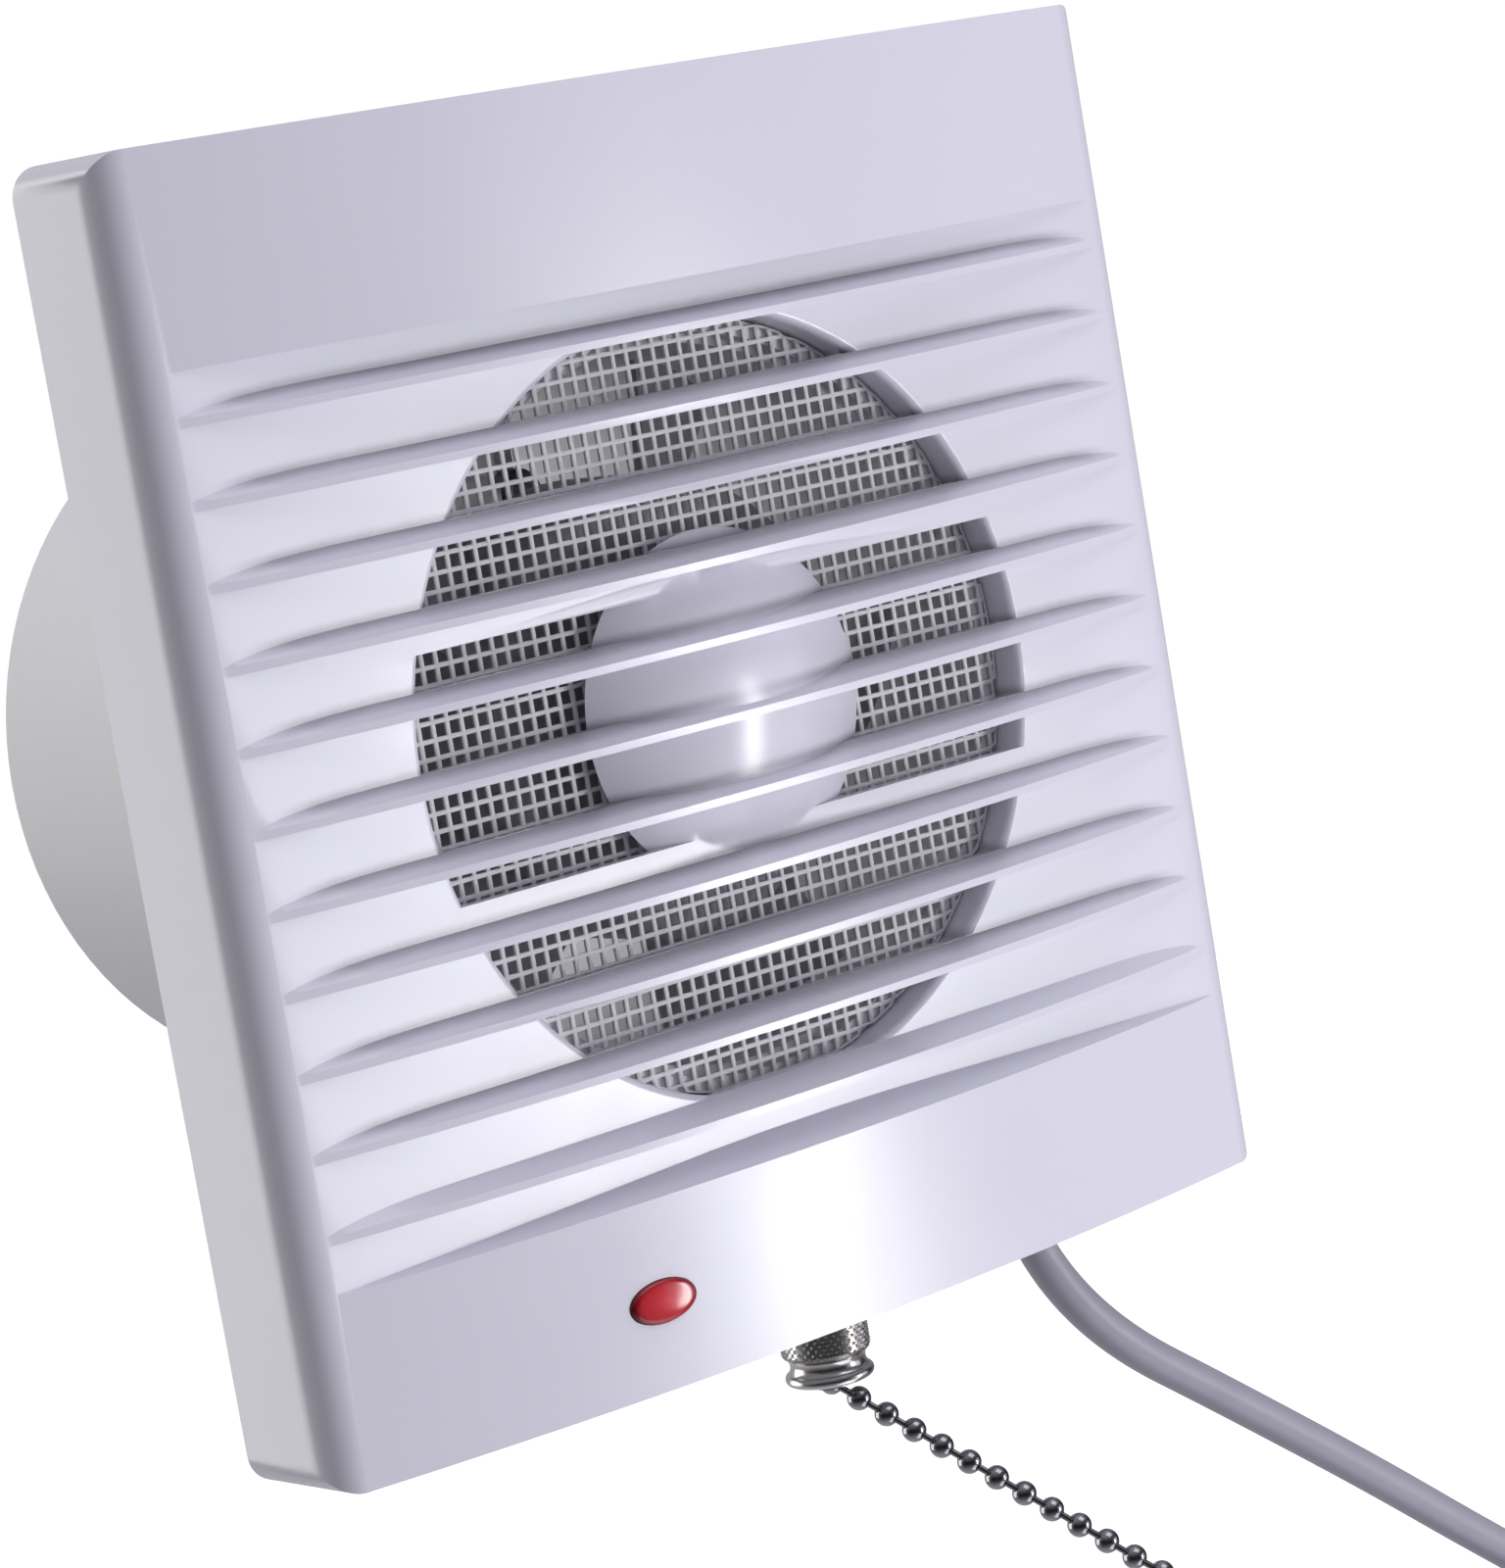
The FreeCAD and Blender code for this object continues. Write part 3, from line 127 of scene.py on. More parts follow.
# Plated metal: scale of its cloudiness, and how much finer its scratches and its grain are
CLOUD_SCALE = 420.0
SCRATCH_FINER = 3
SCRATCH_SPREAD = 0.14
PLATING_FINER = 8
PLATING_STRENGTH = 0.15

# Corners that lie closer than this are joined
JOIN_WITHIN = 0.002

# How far the shading of a moulding's wide faces outweighs that of its roundings, and its sharpest smooth edge
FACE_WEIGHT = 90
MOULDING_SHARP = 28.0

# Insect net
NET_PITCH = 2.19
NET_BAR = 0.56
NET_THICK = 0.45
NET_LEAST_CELL = 0.3

# Bead chain and the bell pull on its end
BEAD_R = 1.6
BEAD_PITCH = 4.1
BEAD_LINK_R = 0.45
BEAD_LINK_SUNK = 0.25
BEAD_COUNT = 14
CHAIN_DIRECTION = Vector((0.543, -0.557, -0.634)).normalized()
PULL_LENGTH = 13.0
PULL_EYE_R = 0.6
PULL_GAP = 0.05

# Knurled nut: diamonds round it and down it, each four facets across, then a waist and a rolled lip
KNURL_R = 5.95
KNURL_HEIGHT = 4.6
KNURL_ROUND = 34
KNURL_DOWN = 4
KNURL_FACETS = 4
KNURL_DEPTH = 0.42
KNURL_EDGE = 0.3
NUT_EDGE_R = 5.5
NUT_NECK_R = 5.45
NUT_WAIST_R = 1.45
NUT_WAIST_SHIFT = 0.45
NUT_LIP_R = 0.78
NUT_LIP_RING_R = 5.05
NUT_LIP_HEIGHT = 0.8
NUT_BORE_R = 4.55
NUT_MOUTH_R = 3.8

# Lamp lens: half sizes of its oval, its flange, the crown of its front and its lean along the bowed panel
LENS_HALF_X = 5.0
LENS_HALF_Z = 2.675
LENS_FLANGE = 1.24
LENS_FLANGE_THICK = 1.0
LENS_CROWN = 0.2
LENS_CROWN_END = 0.86
LENS_EDGE = 0.6
LENS_LEAN = 0.067

# The fan is shown off the ground, as on a wall
FLOOR_DROP = 1.4
FLOOR_R = 9.0

# Studio: the light of the room for soft shading, what shines in gloss, and the white behind
LILAC = (0.86, 0.84, 1.0)
ROOM_TINT = (0.93, 0.92, 1.0, 1.0)
ROOM_MEAN = 0.24
ROOM_SIDE = 0.11
ROOM_TOP = 0.10
GLOSS_LEAST = 0.04
GLOSS_TOP = 0.75
GLOSS_REAR = 0.5
BACKDROP = 1.05
PANEL_AIM = (0, -0.02, 0)
SIDE_AIM = (-0.08, 0, 0)


class Value:
    """A shader socket that takes part in arithmetic."""

    def __init__(self, shading, socket):
        self.shading = shading
        self.socket = socket

    def __add__(self, other):
        return self.shading.math("ADD", self, other)

    def __radd__(self, other):
        return self.shading.math("ADD", other, self)

    def __sub__(self, other):
        return self.shading.math("SUBTRACT", self, other)

    def __rsub__(self, other):
        return self.shading.math("SUBTRACT", other, self)

    def __mul__(self, other):
        return self.shading.math("MULTIPLY", self, other)

    def __rmul__(self, other):
        return self.shading.math("MULTIPLY", other, self)

    def __truediv__(self, other):
        return self.shading.math("DIVIDE", self, other)


class Shading:
    """A node tree with a single way to add nodes to it."""

    def __init__(self, tree):
        self.tree = tree

    def feed(self, socket, value):
        if isinstance(value, Value):
            self.tree.links.new(value.socket, socket)
        else:
            socket.default_value = value

    def node(self, kind, settings=None, sockets=None, out=0):
        made = self.tree.nodes.new(kind)
        for key, value in (settings or {}).items():
            if key == "stops":
                self.ramp(made.color_ramp, value)
            else:
                setattr(made, key, value)
        for key, value in (sockets or {}).items():
            self.feed(made.inputs[key], value)
        return Value(self, made.outputs[out])

    def ramp(self, ramp, stops):
        while len(ramp.elements) < len(stops):
            ramp.elements.new(0.5)
        for element, (place, colour) in zip(ramp.elements, stops):
            element.position = place
            element.color = (*colour, 1.0)

    def math(self, operation, first, second=0.0):
        return self.node("ShaderNodeMath", {"operation": operation}, {0: first, 1: second})

    def ease(self, value, nothing, full):
        """A smooth step: 0 where the value is at nothing, 1 where it is at full."""
        return self.node("ShaderNodeMapRange", {"interpolation_type": "SMOOTHSTEP"}, {
            "Value": value, "From Min": nothing, "From Max": full, "To Min": 0.0, "To Max": 1.0})

    def axes(self, vector):
        return [self.node("ShaderNodeSeparateXYZ", sockets={0: vector}, out=axis) for axis in "XYZ"]


class Finish(Shading):
    """One material and its shader."""

    def __init__(self, name, **shader):
        self.material = bpy.data.materials.new(name)
        self.material.use_nodes = True
        super().__init__(self.material.node_tree)
        self.shader = self.tree.nodes["Principled BSDF"]
        for socket, value in shader.items():
            self.set(socket.replace("_", " "), value)

    def set(self, socket, value):
        self.feed(self.shader.inputs[socket], value)

    def place(self):
        return self.node("ShaderNodeTexCoord", out="Object")

    def noise(self, scale, detail=3.0):
        return self.node("ShaderNodeTexNoise", sockets={
            "Vector": self.place(), "Scale": scale, "Detail": detail, "Roughness": NOISE_ROUGHNESS})

    def mix(self, factor, first, second):
        """Mixes two colours; a Mix node's colours are its sockets 6 and 7, and its output 2."""
        return self.node("ShaderNodeMix", {"data_type": "RGBA"}, {0: factor, 6: first, 7: second}, out=2)

    def blend(self, factor, dark, light):
        return self.mix(factor, (*dark, 1.0), (*light, 1.0))

    def bump(self, height, strength, distance):
        self.set("Normal", self.node("ShaderNodeBump", sockets={
            "Height": height, "Strength": strength, "Distance": distance}))


def louvre_painted_shade(finish):
    """How dark the painted shade is at a place: a painted shadow in the inner corner above each louvre's
    ledge.
    """
    x, y, z = finish.axes(finish.place())
    front = x * x * (1 / (2 * BOW_R * MM)) + CROWN_Y * MM
    sunk = (y - front) / (FACE_Y * MM - front)
    across = finish.math("ABSOLUTE", x) * (1 / (LEDGE_END * MM))
    taper = finish.math("MAXIMUM", across * (1 / LEDGE_TAPER) + (1 - 1 / LEDGE_TAPER), 0.0)
    ledge = finish.math("SQRT", finish.math("MAXIMUM", 1 - taper * taper, 0.0)) * (LEDGE_HEIGHT * MM)
    pitches = (z - ledge) * (1 / (LEDGE_PITCH * MM)) + (0.5 - LEDGE_FIRST / LEDGE_PITCH)
    from_corner = finish.math("ABSOLUTE", finish.math("FRACT", pitches) - 0.5) * LEDGE_PITCH
    uneven = finish.noise(SHADE_EDGE_NOISE) * SHADE_UNEVEN
    corner_shade_mask = finish.ease(from_corner + uneven, SHADE_REACH, SHADE_FULL) * finish.ease(sunk, *SHADE_DEPTHS)
    below = finish.math("LESS_THAN", z, SHADE_TOP * MM)
    above = finish.math("GREATER_THAN", z, SHADE_BOTTOM * MM)
    return corner_shade_mask * below * above * finish.ease(across, *SHADE_ENDS)


def moulded(name, dark, light, roughness, painted_shade=None):
    """Moulded plastic: a slow drift of shade, faint flow marks in the gloss, a fine grain and any painted
    shade in corners.
    """
    finish = Finish(name, IOR=PLASTIC_IOR)
    shade = finish.blend(finish.noise(DRIFT_SCALE, 2.0), dark, light)
    if painted_shade:
        # Painted shade: darkens the louvres' inner corners, where shadow falls
        shade = finish.mix(painted_shade(finish), shade, (*CORNER_SHADE, 1.0))
    finish.set("Base Color", shade)
    finish.set("Roughness", finish.noise(FLOW_SCALE) * FLOW_SPREAD + (roughness - FLOW_SPREAD / 2))
    finish.bump(finish.noise(GRAIN_SCALE, 2.0), GRAIN_STRENGTH, GRAIN_DEPTH)
    return finish.material


def plated(name, dark, light, roughness):
    """Plated metal with a slightly cloudy, finely scratched surface."""
    finish = Finish(name, Metallic=1.0)
    finish.set("Base Color", finish.blend(finish.noise(CLOUD_SCALE, 4.0), dark, light))
    scratches = finish.noise(CLOUD_SCALE * SCRATCH_FINER)
    finish.set("Roughness", scratches * SCRATCH_SPREAD + (roughness - SCRATCH_SPREAD / 2))
    finish.bump(finish.noise(CLOUD_SCALE * PLATING_FINER, 2.0), PLATING_STRENGTH, GRAIN_DEPTH)
    return finish.material


def red_glass():
    """Clear red lens, with painted light in its middle, where the lamp stands behind it, and painted shade at
    its rim.
    """
    finish = Finish("clear_red_lens", IOR=1.49)
    low, high = (Vector(corner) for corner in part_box("lamp_lens"))
    half = (high - low) / 2
    from_middle = finish.node("ShaderNodeMapping", {"vector_type": "TEXTURE"}, {
        "Vector": finish.place(), "Location": (low + high) / 2, "Scale": (half.x, 1.0, half.z)})
    reach = finish.node("ShaderNodeVectorMath", {"operation": "LENGTH"}, {0: from_middle}, out="Value")
    cloudy_reach = finish.noise(scale=500.0, detail=2.0) * 0.12 + reach
    # Painted light and shade: a brighter red in the middle and a painted shade darkening the rim
    stops = [(0.10, (0.68, 0.030, 0.045)), (0.62, (0.52, 0.012, 0.022)), (0.84, (0.15, 0.002, 0.006))]
    finish.set("Base Color", finish.node("ShaderNodeValToRGB", {"stops": stops}, {0: cloudy_reach}))
    finish.set("Roughness", finish.noise(scale=700.0) * 0.06 + 0.11)
    return finish.material


def soft_flex():
    """Soft extruded sleeve, a little uneven in shade and gloss."""
    finish = Finish("soft_pvc_flex", IOR=PLASTIC_IOR)
    finish.set("Base Color", finish.blend(finish.noise(scale=90.0), (0.32, 0.31, 0.36), (0.39, 0.38, 0.43)))
    finish.set("Roughness", finish.noise(scale=500.0) * 0.12 + 0.36)
    finish.bump(finish.noise(scale=1800.0, detail=2.0), strength=0.12, distance=GRAIN_DEPTH)
    return finish.material


FINISHES = {
    # The panel's finish carries painted shade in its louvres' inner corners
    "white_panel": moulded("panel_white", (0.72, 0.715, 0.775), (0.75, 0.745, 0.805), 0.22, louvre_painted_shade),
    "white_housing": moulded("housing_white", (0.78, 0.78, 0.79), (0.82, 0.82, 0.83), 0.6),
    "screen_net": moulded("net_white", (0.80, 0.79, 0.80), (0.86, 0.85, 0.86), 0.5),
    "impeller_plastic": moulded("impeller_pale", (0.33, 0.33, 0.35), (0.39, 0.39, 0.41), 0.42),
    "steel": plated("bright_steel", (0.50, 0.50, 0.51), (0.62, 0.62, 0.63), 0.30),
    "motor_shell": plated("pressed_steel", (0.20, 0.21, 0.22), (0.30, 0.31, 0.32), 0.45),
    "laminations": plated("core_steel", (0.16, 0.16, 0.17), (0.26, 0.26, 0.27), 0.55),
    "sintered_bronze": plated("sintered_bronze", (0.42, 0.27, 0.11), (0.55, 0.37, 0.17), 0.5),
    "copper_winding": plated("enamelled_copper", (0.50, 0.20, 0.07), (0.62, 0.29, 0.12), 0.35),
    "bobbin_plastic": moulded("bobbin_ivory", (0.62, 0.59, 0.48), (0.68, 0.65, 0.54), 0.45),
    "switch_plastic": moulded("switch_black", (0.012, 0.012, 0.014), (0.022, 0.022, 0.024), 0.42),
    "contact_brass": plated("contact_brass", (0.58, 0.42, 0.16), (0.68, 0.52, 0.22), 0.3),
    "dark_nickel": plated("dark_nickel", (0.38, 0.37, 0.34), (0.56, 0.55, 0.51), 0.2),
    "chain_metal": plated("dark_chrome", (0.20, 0.20, 0.205), (0.30, 0.30, 0.305), 0.14),
    "red_lens": red_glass(),
    "lamp_glass": moulded("bulb_glass", (0.75, 0.55, 0.42), (0.82, 0.62, 0.48), 0.12),
    "pvc_flex": soft_flex(),
    "clamp_plastic": moulded("fittings_white", (0.70, 0.69, 0.74), (0.75, 0.74, 0.79), 0.42),
    "tie_plastic": moulded("tie_black", (0.014, 0.014, 0.016), (0.026, 0.026, 0.028), 0.5),
    "pin_metal": plated("pin_nickel", (0.60, 0.58, 0.54), (0.70, 0.68, 0.64), 0.22),
}
SLOT_OF_NODE = {part["node"]: part["material_slot"] for part in frame["record"]["subparts"]}


def body_of_node(node):
    for body, nodes in frame["record"]["behaviour"]["bodies"].items():
        if node in nodes:
            return body


def new_piece(name, mesh, node, *more_nodes):
    """A piece that stands for one CAD node or several, on that node's body and with its finish."""
    piece = bpy.data.objects.new(name, mesh)
    bpy.context.scene.collection.objects.link(piece)
    piece.data.materials.clear()
    piece.data.materials.append(FINISHES[SLOT_OF_NODE[node]])
    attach(piece, body_of_node(node))
    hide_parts(node, *more_nodes)
    return piece


def finished_mesh(name, bm, sharp_degrees=35.0):
    """Turns a bmesh into a mesh that is smooth apart from its sharp edges."""
    for face in bm.faces:
        face.smooth = True
    for edge in bm.edges:
        edge.smooth = edge.calc_face_angle(0.0) < math.radians(sharp_degrees)
    mesh = bpy.data.meshes.new(name)
    bm.to_mesh(mesh)
    bm.free()
    return mesh


def paint_cad_nodes():
    for node, piece in frame["nodes"].items():
        piece.data.materials.clear()
        piece.data.materials.append(FINISHES[SLOT_OF_NODE[node]])


def merged_copy(node):
    """A copy of a CAD node's mesh with its triangles joined."""
    bm = bmesh.new()
    bm.from_mesh(frame["nodes"][node].data)
    bmesh.ops.remove_doubles(bm, verts=bm.verts, dist=JOIN_WITHIN * MM)
    return bm


def dress_moulding(node):
    """A joined copy of a moulded shell, with its wide faces shaded flat and its roundings smooth."""
    name = node + "_moulding"
    piece = new_piece(name, finished_mesh(name, merged_copy(node), MOULDING_SHARP), node)
    shading = piece.modifiers.new("even_shading", "WEIGHTED_NORMAL")
    shading.mode = "FACE_AREA"
    shading.weight = FACE_WEIGHT
    shading.keep_sharp = True


def make_net():
    """A round net: a grid trimmed to the screen's edge, with each cell opened and the bars thickened."""
    low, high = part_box("insect_screen")
    radius = (high[0] - low[0]) / 2
    pitch = NET_PITCH * MM
    cells = int(2 * radius / pitch) + 1
    bm = bmesh.new()
    bmesh.ops.create_grid(bm, x_segments=cells, y_segments=cells, size=cells * pitch / 2)
    outside = [f for f in bm.faces if all(v.co.length >= radius for v in f.verts)]
    bmesh.ops.delete(bm, geom=outside, context="FACES")
    for vert in bm.verts:
        vert.co *= min(1.0, radius / max(vert.co.length, pitch / 2))
    slivers = [f for f in bm.faces if f.calc_area() < NET_LEAST_CELL * pitch ** 2]
    bmesh.ops.delete(bm, geom=slivers, context="FACES")
    bmesh.ops.rotate(bm, verts=bm.verts, matrix=Matrix.Rotation(math.pi / 2, 3, "X"))
    bmesh.ops.translate(bm, verts=bm.verts, vec=(0, low[1], 0))
    cut = bmesh.ops.inset_individual(bm, faces=bm.faces, thickness=NET_BAR * MM / 2, use_even_offset=True)
    holes = [f for f in bm.faces if f not in set(cut["faces"])]
    bmesh.ops.delete(bm, geom=holes, context="FACES")
    bmesh.ops.recalc_face_normals(bm, faces=bm.faces)
    piece = new_piece("insect_net", finished_mesh("insect_net", bm), "insect_screen")
    thickness = piece.modifiers.new("thickness", "SOLIDIFY")
    thickness.thickness = NET_THICK * MM
    thickness.offset = 0.0


def spun(profile, steps):
    """A closed ring of faces turned from a profile of radius and height in millimetres, about Z."""
    bm = bmesh.new()
    corners = [bm.verts.new((r * MM, 0, z * MM)) for r, z in profile]
    edges = [bm.edges.new(pair) for pair in zip(corners, corners[1:])]
    bmesh.ops.spin(bm, geom=corners + edges, cent=(0, 0, 0), axis=(0, 0, 1), angle=2 * math.pi,
                   steps=steps, use_merge=True)
    bmesh.ops.remove_doubles(bm, verts=bm.verts, dist=JOIN_WITHIN * MM)
    return bm


def arc_profile(centre_r, centre_z, radius, start, end, count):
    """Points on an arc of a profile; angles in degrees from outward, towards up."""
    steps = [math.radians(start + (end - start) * i / count) for i in range(count + 1)]
    return [(centre_r + radius * math.cos(a), centre_z + radius * math.sin(a)) for a in steps]


def groove_depth(turns):
    """Depth of one family of V grooves, from 1 in a groove to 0 midway to the next."""
    return 2 * abs(turns % 1 - 0.5)


def nut_profile(top, mouth):
    """Outline of the nut, from its bore over the knurled band, the waist and the lip back to its bore."""
    knurl_end = top - KNURL_HEIGHT
    rows = KNURL_FACETS * KNURL_DOWN
    row_height = (KNURL_HEIGHT - KNURL_EDGE) / rows
    band = [(KNURL_R, top - KNURL_EDGE - row_height * i) for i in range(rows + 1)]
    waist_z = (knurl_end + mouth) / 2 + NUT_WAIST_SHIFT
    waist = arc_profile(KNURL_R + NUT_WAIST_SHIFT, waist_z, NUT_WAIST_R, 120, 240, 10)
    lip = arc_profile(NUT_LIP_RING_R, mouth + NUT_LIP_HEIGHT, NUT_LIP_R, 70, -90, 10)
    throat = [(NUT_MOUTH_R + 0.1, mouth + 0.05), (NUT_MOUTH_R, mouth + 0.4), (NUT_MOUTH_R, knurl_end)]
    outside = [(NUT_BORE_R, top), (NUT_EDGE_R, top)] + band + [(NUT_NECK_R, knurl_end)] + waist + lip
    return outside + throat + [(NUT_BORE_R, knurl_end), (NUT_BORE_R, top)]


def make_nut():
    low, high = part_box("knurled_nut")
    top, mouth = high[2] / MM, low[2] / MM
    bm = spun(nut_profile(top, mouth), KNURL_FACETS * KNURL_ROUND)
    for vert in bm.verts:
        row = (top - KNURL_EDGE - vert.co.z / MM) / (KNURL_HEIGHT - KNURL_EDGE) * KNURL_DOWN
        column = math.atan2(vert.co.y, vert.co.x) / (2 * math.pi) * KNURL_ROUND
        if math.isclose(vert.co.xy.length / MM, KNURL_R, abs_tol=0.01):
            cut = max(groove_depth(column + row), groove_depth(column - row))
            vert.co.xy *= 1 - KNURL_DEPTH * cut / KNURL_R
    bmesh.ops.recalc_face_normals(bm, faces=bm.faces)
    bmesh.ops.translate(bm, verts=bm.verts, vec=(0, (low[1] + high[1]) / 2, 0))
    new_piece("pull_nut", finished_mesh("pull_nut", bm, sharp_degrees=16.0), "knurled_nut")


def make_lens():
    """A spun button with a low crown, drawn out to an oval and leant along the bowed panel."""
    low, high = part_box("lamp_lens")
    height = (high[1] - low[1]) / MM
    shares = (0, 0.2, 0.4, 0.6, 0.74, LENS_CROWN_END)
    crown = [(share, height + LENS_CROWN * (1 - (share / LENS_CROWN_END) ** 2)) for share in shares]
    rounding = [(0.93, height - 0.08), (0.98, height - 0.27), (1.0, height - LENS_EDGE)]
    flange = [(1.0, LENS_FLANGE_THICK), (LENS_FLANGE, LENS_FLANGE_THICK), (LENS_FLANGE, 0.0), (0.0, 0.0)]
    bm = spun(crown + rounding + flange, 64)
    bmesh.ops.recalc_face_normals(bm, faces=bm.faces)
    bmesh.ops.scale(bm, verts=bm.verts, vec=(LENS_HALF_X, LENS_HALF_Z, 1.0))
    bmesh.ops.rotate(bm, verts=bm.verts, matrix=Matrix.Rotation(math.pi / 2, 3, "X"))
    for vert in bm.verts:
        if vert.co.y < -2 * LENS_FLANGE_THICK * MM:
            vert.co.y -= vert.co.x * LENS_LEAN
    middle = [(a + b) / 2 for a, b in zip(low, high)]
    bmesh.ops.translate(bm, verts=bm.verts, vec=(middle[0], high[1], middle[2]))
    new_piece("lamp_window", finished_mesh("lamp_window", bm, sharp_degrees=50.0), "lamp_lens")


def joint_named(name):
    for joint in frame["record"]["behaviour"]["joints"]:
        if joint["name"] == name:
            return joint


def make_return_spring():
    """The switch's spring, which the plunger's head presses together as the chain is pulled."""
    mesh = finished_mesh("return_spring", merged_copy("switch_spring"))
    piece = new_piece("return_spring", mesh, "switch_spring")
    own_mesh(piece)


def chain_pivot():
    return Vector(joint_named("chain_swing")["pos_m"])


def along_chain(distance=0.0):
    """Moves a shape that points down from the origin onto the chain's line, so many millimetres along it."""
    turn = Vector((0, 0, -1)).rotation_difference(CHAIN_DIRECTION).to_matrix().to_4x4()
    return Matrix.Translation(chain_pivot() + CHAIN_DIRECTION * (distance * MM)) @ turn


def make_chain():
    bm = bmesh.new()
    link_length = BEAD_PITCH - 2 * (BEAD_R - BEAD_LINK_SUNK)
    for number in range(BEAD_COUNT):
        bead = Matrix.Translation(Vector((0, 0, -BEAD_PITCH * number * MM)))
        bmesh.ops.create_uvsphere(bm, u_segments=28, v_segments=18, radius=BEAD_R * MM, matrix=bead)
        link = Matrix.Translation(Vector((0, 0, -BEAD_PITCH * (number + 0.5) * MM)))
        bmesh.ops.create_cone(bm, segments=14, radius1=BEAD_LINK_R * MM, radius2=BEAD_LINK_R * MM,
                              depth=link_length * MM, matrix=link)
    bmesh.ops.transform(bm, verts=bm.verts, matrix=along_chain())
    new_piece("bead_chain", finished_mesh("bead_chain", bm), "pull_chain")


def make_pull():
    """A hollow bell with a rolled rim, hung below the last bead."""
    outside = [(PULL_EYE_R, 0.0)] + arc_profile(1.8, -0.8, 0.8, 90, 0, 6)
    outside += [(2.6, -3.9), (2.75, -5.4), (3.1, -7.4), (3.7, -9.6), (4.35, -11.4)]
    rim = arc_profile(4.05, -PULL_LENGTH + 0.75, 0.55, 20, -120, 8)
    inside = [(3.4, -PULL_LENGTH + 1.6), (2.4, -PULL_LENGTH + 5.0), (1.6, -4.6)]
    bm = spun(outside + rim + inside + [(PULL_EYE_R, -4.4), (PULL_EYE_R, 0.0)], 48)
    bmesh.ops.recalc_face_normals(bm, faces=bm.faces)
    last_bead = BEAD_PITCH * (BEAD_COUNT - 1) + BEAD_R
    bmesh.ops.transform(bm, verts=bm.verts, matrix=along_chain(last_bead + PULL_GAP))
    new_piece("bell_pull", finished_mesh("bell_pull", bm), "chain_pull")


def coil_points():
    """Points of the coil: it winds in on one layer and out again on the next.

    The drawn curve runs a little inside its points, so they are set outward by as much.
    """
    entry = Vector((FLEX_ROUTE[-1][0], FLEX_ROUTE[-1][1]))
    heading = (entry - Vector(FLEX_ROUTE[-2])).normalized()
    inward = Vector((heading.y, -heading.x))
    centre = entry + heading * 2 * FLEX_R + inward * COIL_R
    first = math.atan2(-inward.y, -inward.x)
    sweep = COIL_TURNS * 2 * math.pi + first + math.pi / 2
    half, turn_in = sweep / 2, math.pi / 2
    rate = COIL_STEP / (2 * math.pi)
    count = round(sweep / (2 * math.pi) * COIL_POINTS_PER_TURN)
    outward = 1 / math.cos(math.pi / COIL_POINTS_PER_TURN) ** COIL_SET_OUT
    points = []
    for i in range(count + 1):
        u = sweep * i / count
        away = abs(u - half)
        radius = COIL_R - rate * (half - away)
        if away < turn_in:
            radius = COIL_R - rate * (half - turn_in) - rate * turn_in / 2 * (1 - (away / turn_in) ** 2)
        climb = min(max((u - half + turn_in) / (2 * turn_in), 0), 1)
        depth = FLEX_Y - COIL_STEP * (1 - math.cos(math.pi * climb)) / 2
        angle = first - u
        points.append((centre.x + radius * outward * math.cos(angle), depth,
                       centre.y + radius * outward * math.sin(angle)))
    last = Vector(points[-1])
    leaving = Vector((math.sin(first - sweep), 0, -math.cos(first - sweep)))
    points.append(tuple(last + leaving * COIL_LEAD * 0.5))
    points.append(tuple(last + leaving * COIL_LEAD))
    return points


def make_flex():
    points = [(x, FLEX_Y, z) for x, z in FLEX_ROUTE] + coil_points()
    curve = bpy.data.curves.new("mains_flex", "CURVE")
    curve.dimensions = "3D"
    curve.bevel_depth = FLEX_R * MM
    curve.bevel_resolution = 6
    curve.use_fill_caps = True
    curve.resolution_u = 6
    spline = curve.splines.new("NURBS")
    spline.points.add(len(points) - 1)
    for point, place in zip(spline.points, points):
        point.co = (*(c * MM for c in place), 1.0)
    spline.order_u = 3
    spline.use_endpoint_u = True
    piece = new_piece("mains_flex", curve, "power_cord", "cord_coil")


def place_camera():
    data = bpy.data.cameras.new("photo_camera")
    data.sensor_fit = "VERTICAL"
    data.sensor_height = SENSOR_MM
    data.lens = SENSOR_MM * FOCAL_PX / IMAGE_HEIGHT_PX
    data.clip_start = 0.01
    camera = bpy.data.objects.new("photo_camera", data)
    bpy.context.scene.collection.objects.link(camera)
    columns = [Vector(VIEW_RIGHT), -Vector(VIEW_DOWN), -Vector(VIEW_FORWARD)]
    turn = Matrix(columns).transposed().to_4x4()
    camera.matrix_world = Matrix.Translation(Vector(EYE_MM) * MM) @ turn
    bpy.context.scene.camera = camera


def make_floor():
    bm = bmesh.new()
    bmesh.ops.create_circle(bm, cap_ends=True, segments=96, radius=FLOOR_R)
    mesh = bpy.data.meshes.new("pale_floor")
    bm.to_mesh(mesh)
    bm.free()
    floor = bpy.data.objects.new("pale_floor", mesh)
    floor.location.z = cad_low[2] - FLOOR_DROP
    floor.visible_diffuse = False
    floor.visible_glossy = False
    bpy.context.scene.collection.objects.link(floor)
    finish = Finish("pale_floor", Roughness=0.9)
    finish.set("Base Color", (0.9, 0.9, 0.91, 1.0))
    finish.set("Emission Color", (1.0, 1.0, 1.0, 1.0))
    finish.set("Emission Strength", 1.0)
    mesh.materials.append(finish.material)


def soft_light(name, place, aim, size, power, colour=(1, 1, 1)):
    data = bpy.data.lights.new(name, "AREA")
    data.shape = "RECTANGLE"
    data.size, data.size_y = size
    data.energy = power
    data.color = colour
    light = bpy.data.objects.new(name, data)
    bpy.context.scene.collection.objects.link(light)
    light.location = place
    light.rotation_euler = (Vector(aim) - Vector(place)).to_track_quat("-Z", "Y").to_euler()
    light.visible_camera = False


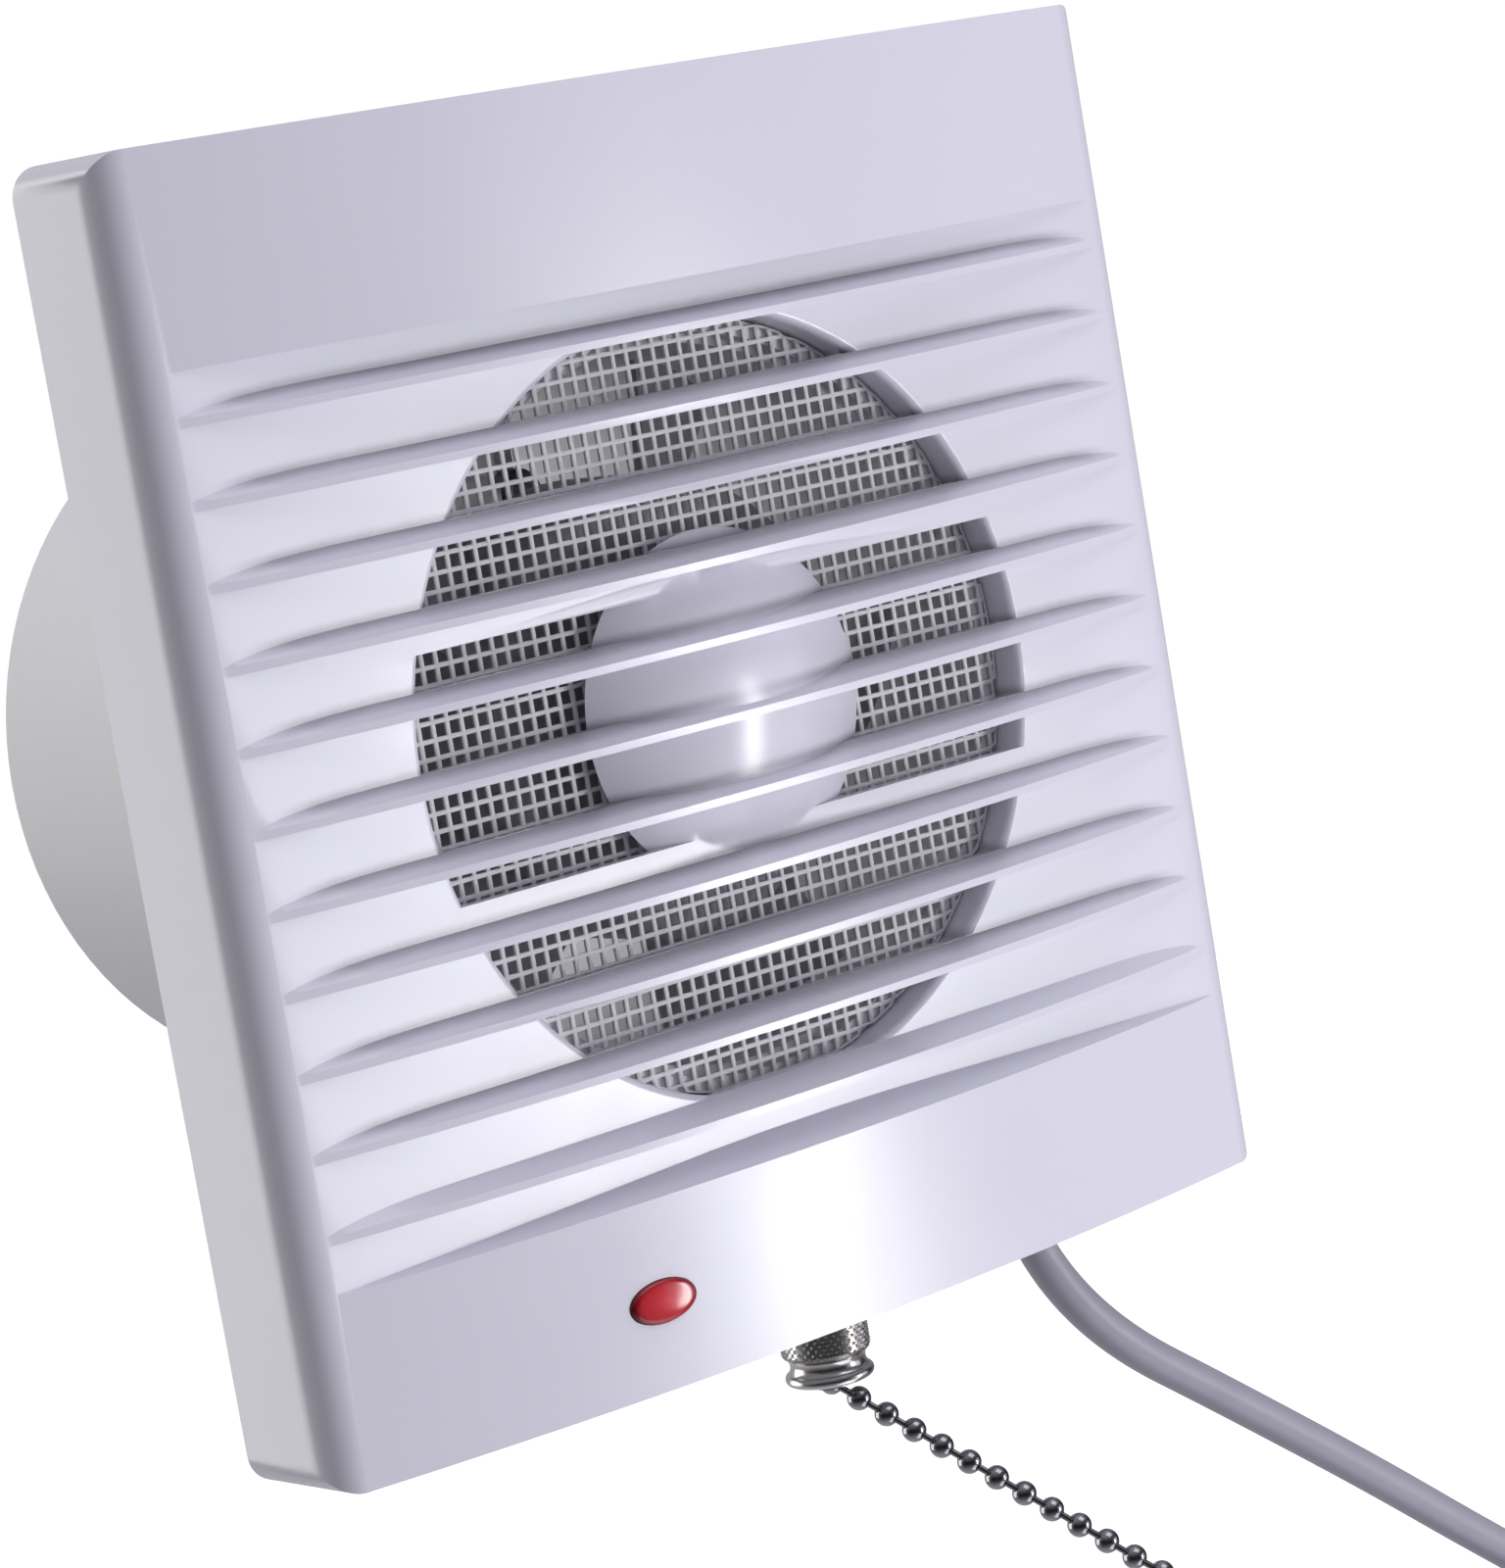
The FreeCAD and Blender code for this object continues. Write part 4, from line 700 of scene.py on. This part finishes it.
def light_room():
    """A lilac-white room for shading and gloss, in front of plain white."""
    world = bpy.data.worlds.new("studio")
    bpy.context.scene.world = world
    world.use_nodes = True
    sky = Shading(world.node_tree)
    right, behind, above = sky.axes(sky.node("ShaderNodeTexCoord", out="Generated"))
    room = ROOM_MEAN + ROOM_SIDE * right - ROOM_SIDE * behind + ROOM_TOP * above
    mirrored = GLOSS_LEAST + GLOSS_TOP * above * above + GLOSS_REAR * sky.math("MAXIMUM", behind, 0.0)
    glossy = sky.node("ShaderNodeLightPath", out="Is Glossy Ray")
    ambient = sky.node("ShaderNodeBackground", sockets={
        "Color": ROOM_TINT, "Strength": room * (1 - glossy) + mirrored * glossy})
    backdrop = sky.node("ShaderNodeBackground", sockets={"Color": (1.0, 1.0, 1.0, 1.0), "Strength": BACKDROP})
    seen = sky.node("ShaderNodeLightPath", out="Is Camera Ray")
    both = sky.node("ShaderNodeMixShader", sockets={0: seen, 1: ambient, 2: backdrop})
    sky.feed(world.node_tree.nodes["World Output"].inputs["Surface"], both)


def light_scene():
    light_room()
    soft_light("softbox", (0.697, -0.925, -0.256), PANEL_AIM, size=(0.12, 0.50), power=4.0)
    soft_light("softbox_spread", (0.80, -1.00, -0.25), PANEL_AIM, size=(1.3, 1.1), power=1.2, colour=LILAC)
    soft_light("broad_right", (0.947, -0.883, -0.113), PANEL_AIM, size=(0.9, 0.7), power=1.9, colour=LILAC)
    soft_light("low_front", (0.27, -0.72, -0.98), PANEL_AIM, size=(0.8, 0.8), power=4.0, colour=LILAC)
    soft_light("top_soft", (0.30, -0.60, 1.20), PANEL_AIM, size=(1.0, 1.0), power=6.0, colour=LILAC)
    soft_light("side_left", (-1.15, 1.45, 0.35), SIDE_AIM, size=(1.4, 2.4), power=27.0)
    bpy.context.scene.view_settings.view_transform = "Standard"


place_camera()
paint_cad_nodes()
make_flex()
for shell in ("front_cover", "rear_housing", "screen_frame", "impeller", "cord_grommet"):
    dress_moulding(shell)
make_net()
make_lens()
make_nut()
make_return_spring()
make_chain()
make_pull()
make_floor()
light_scene()
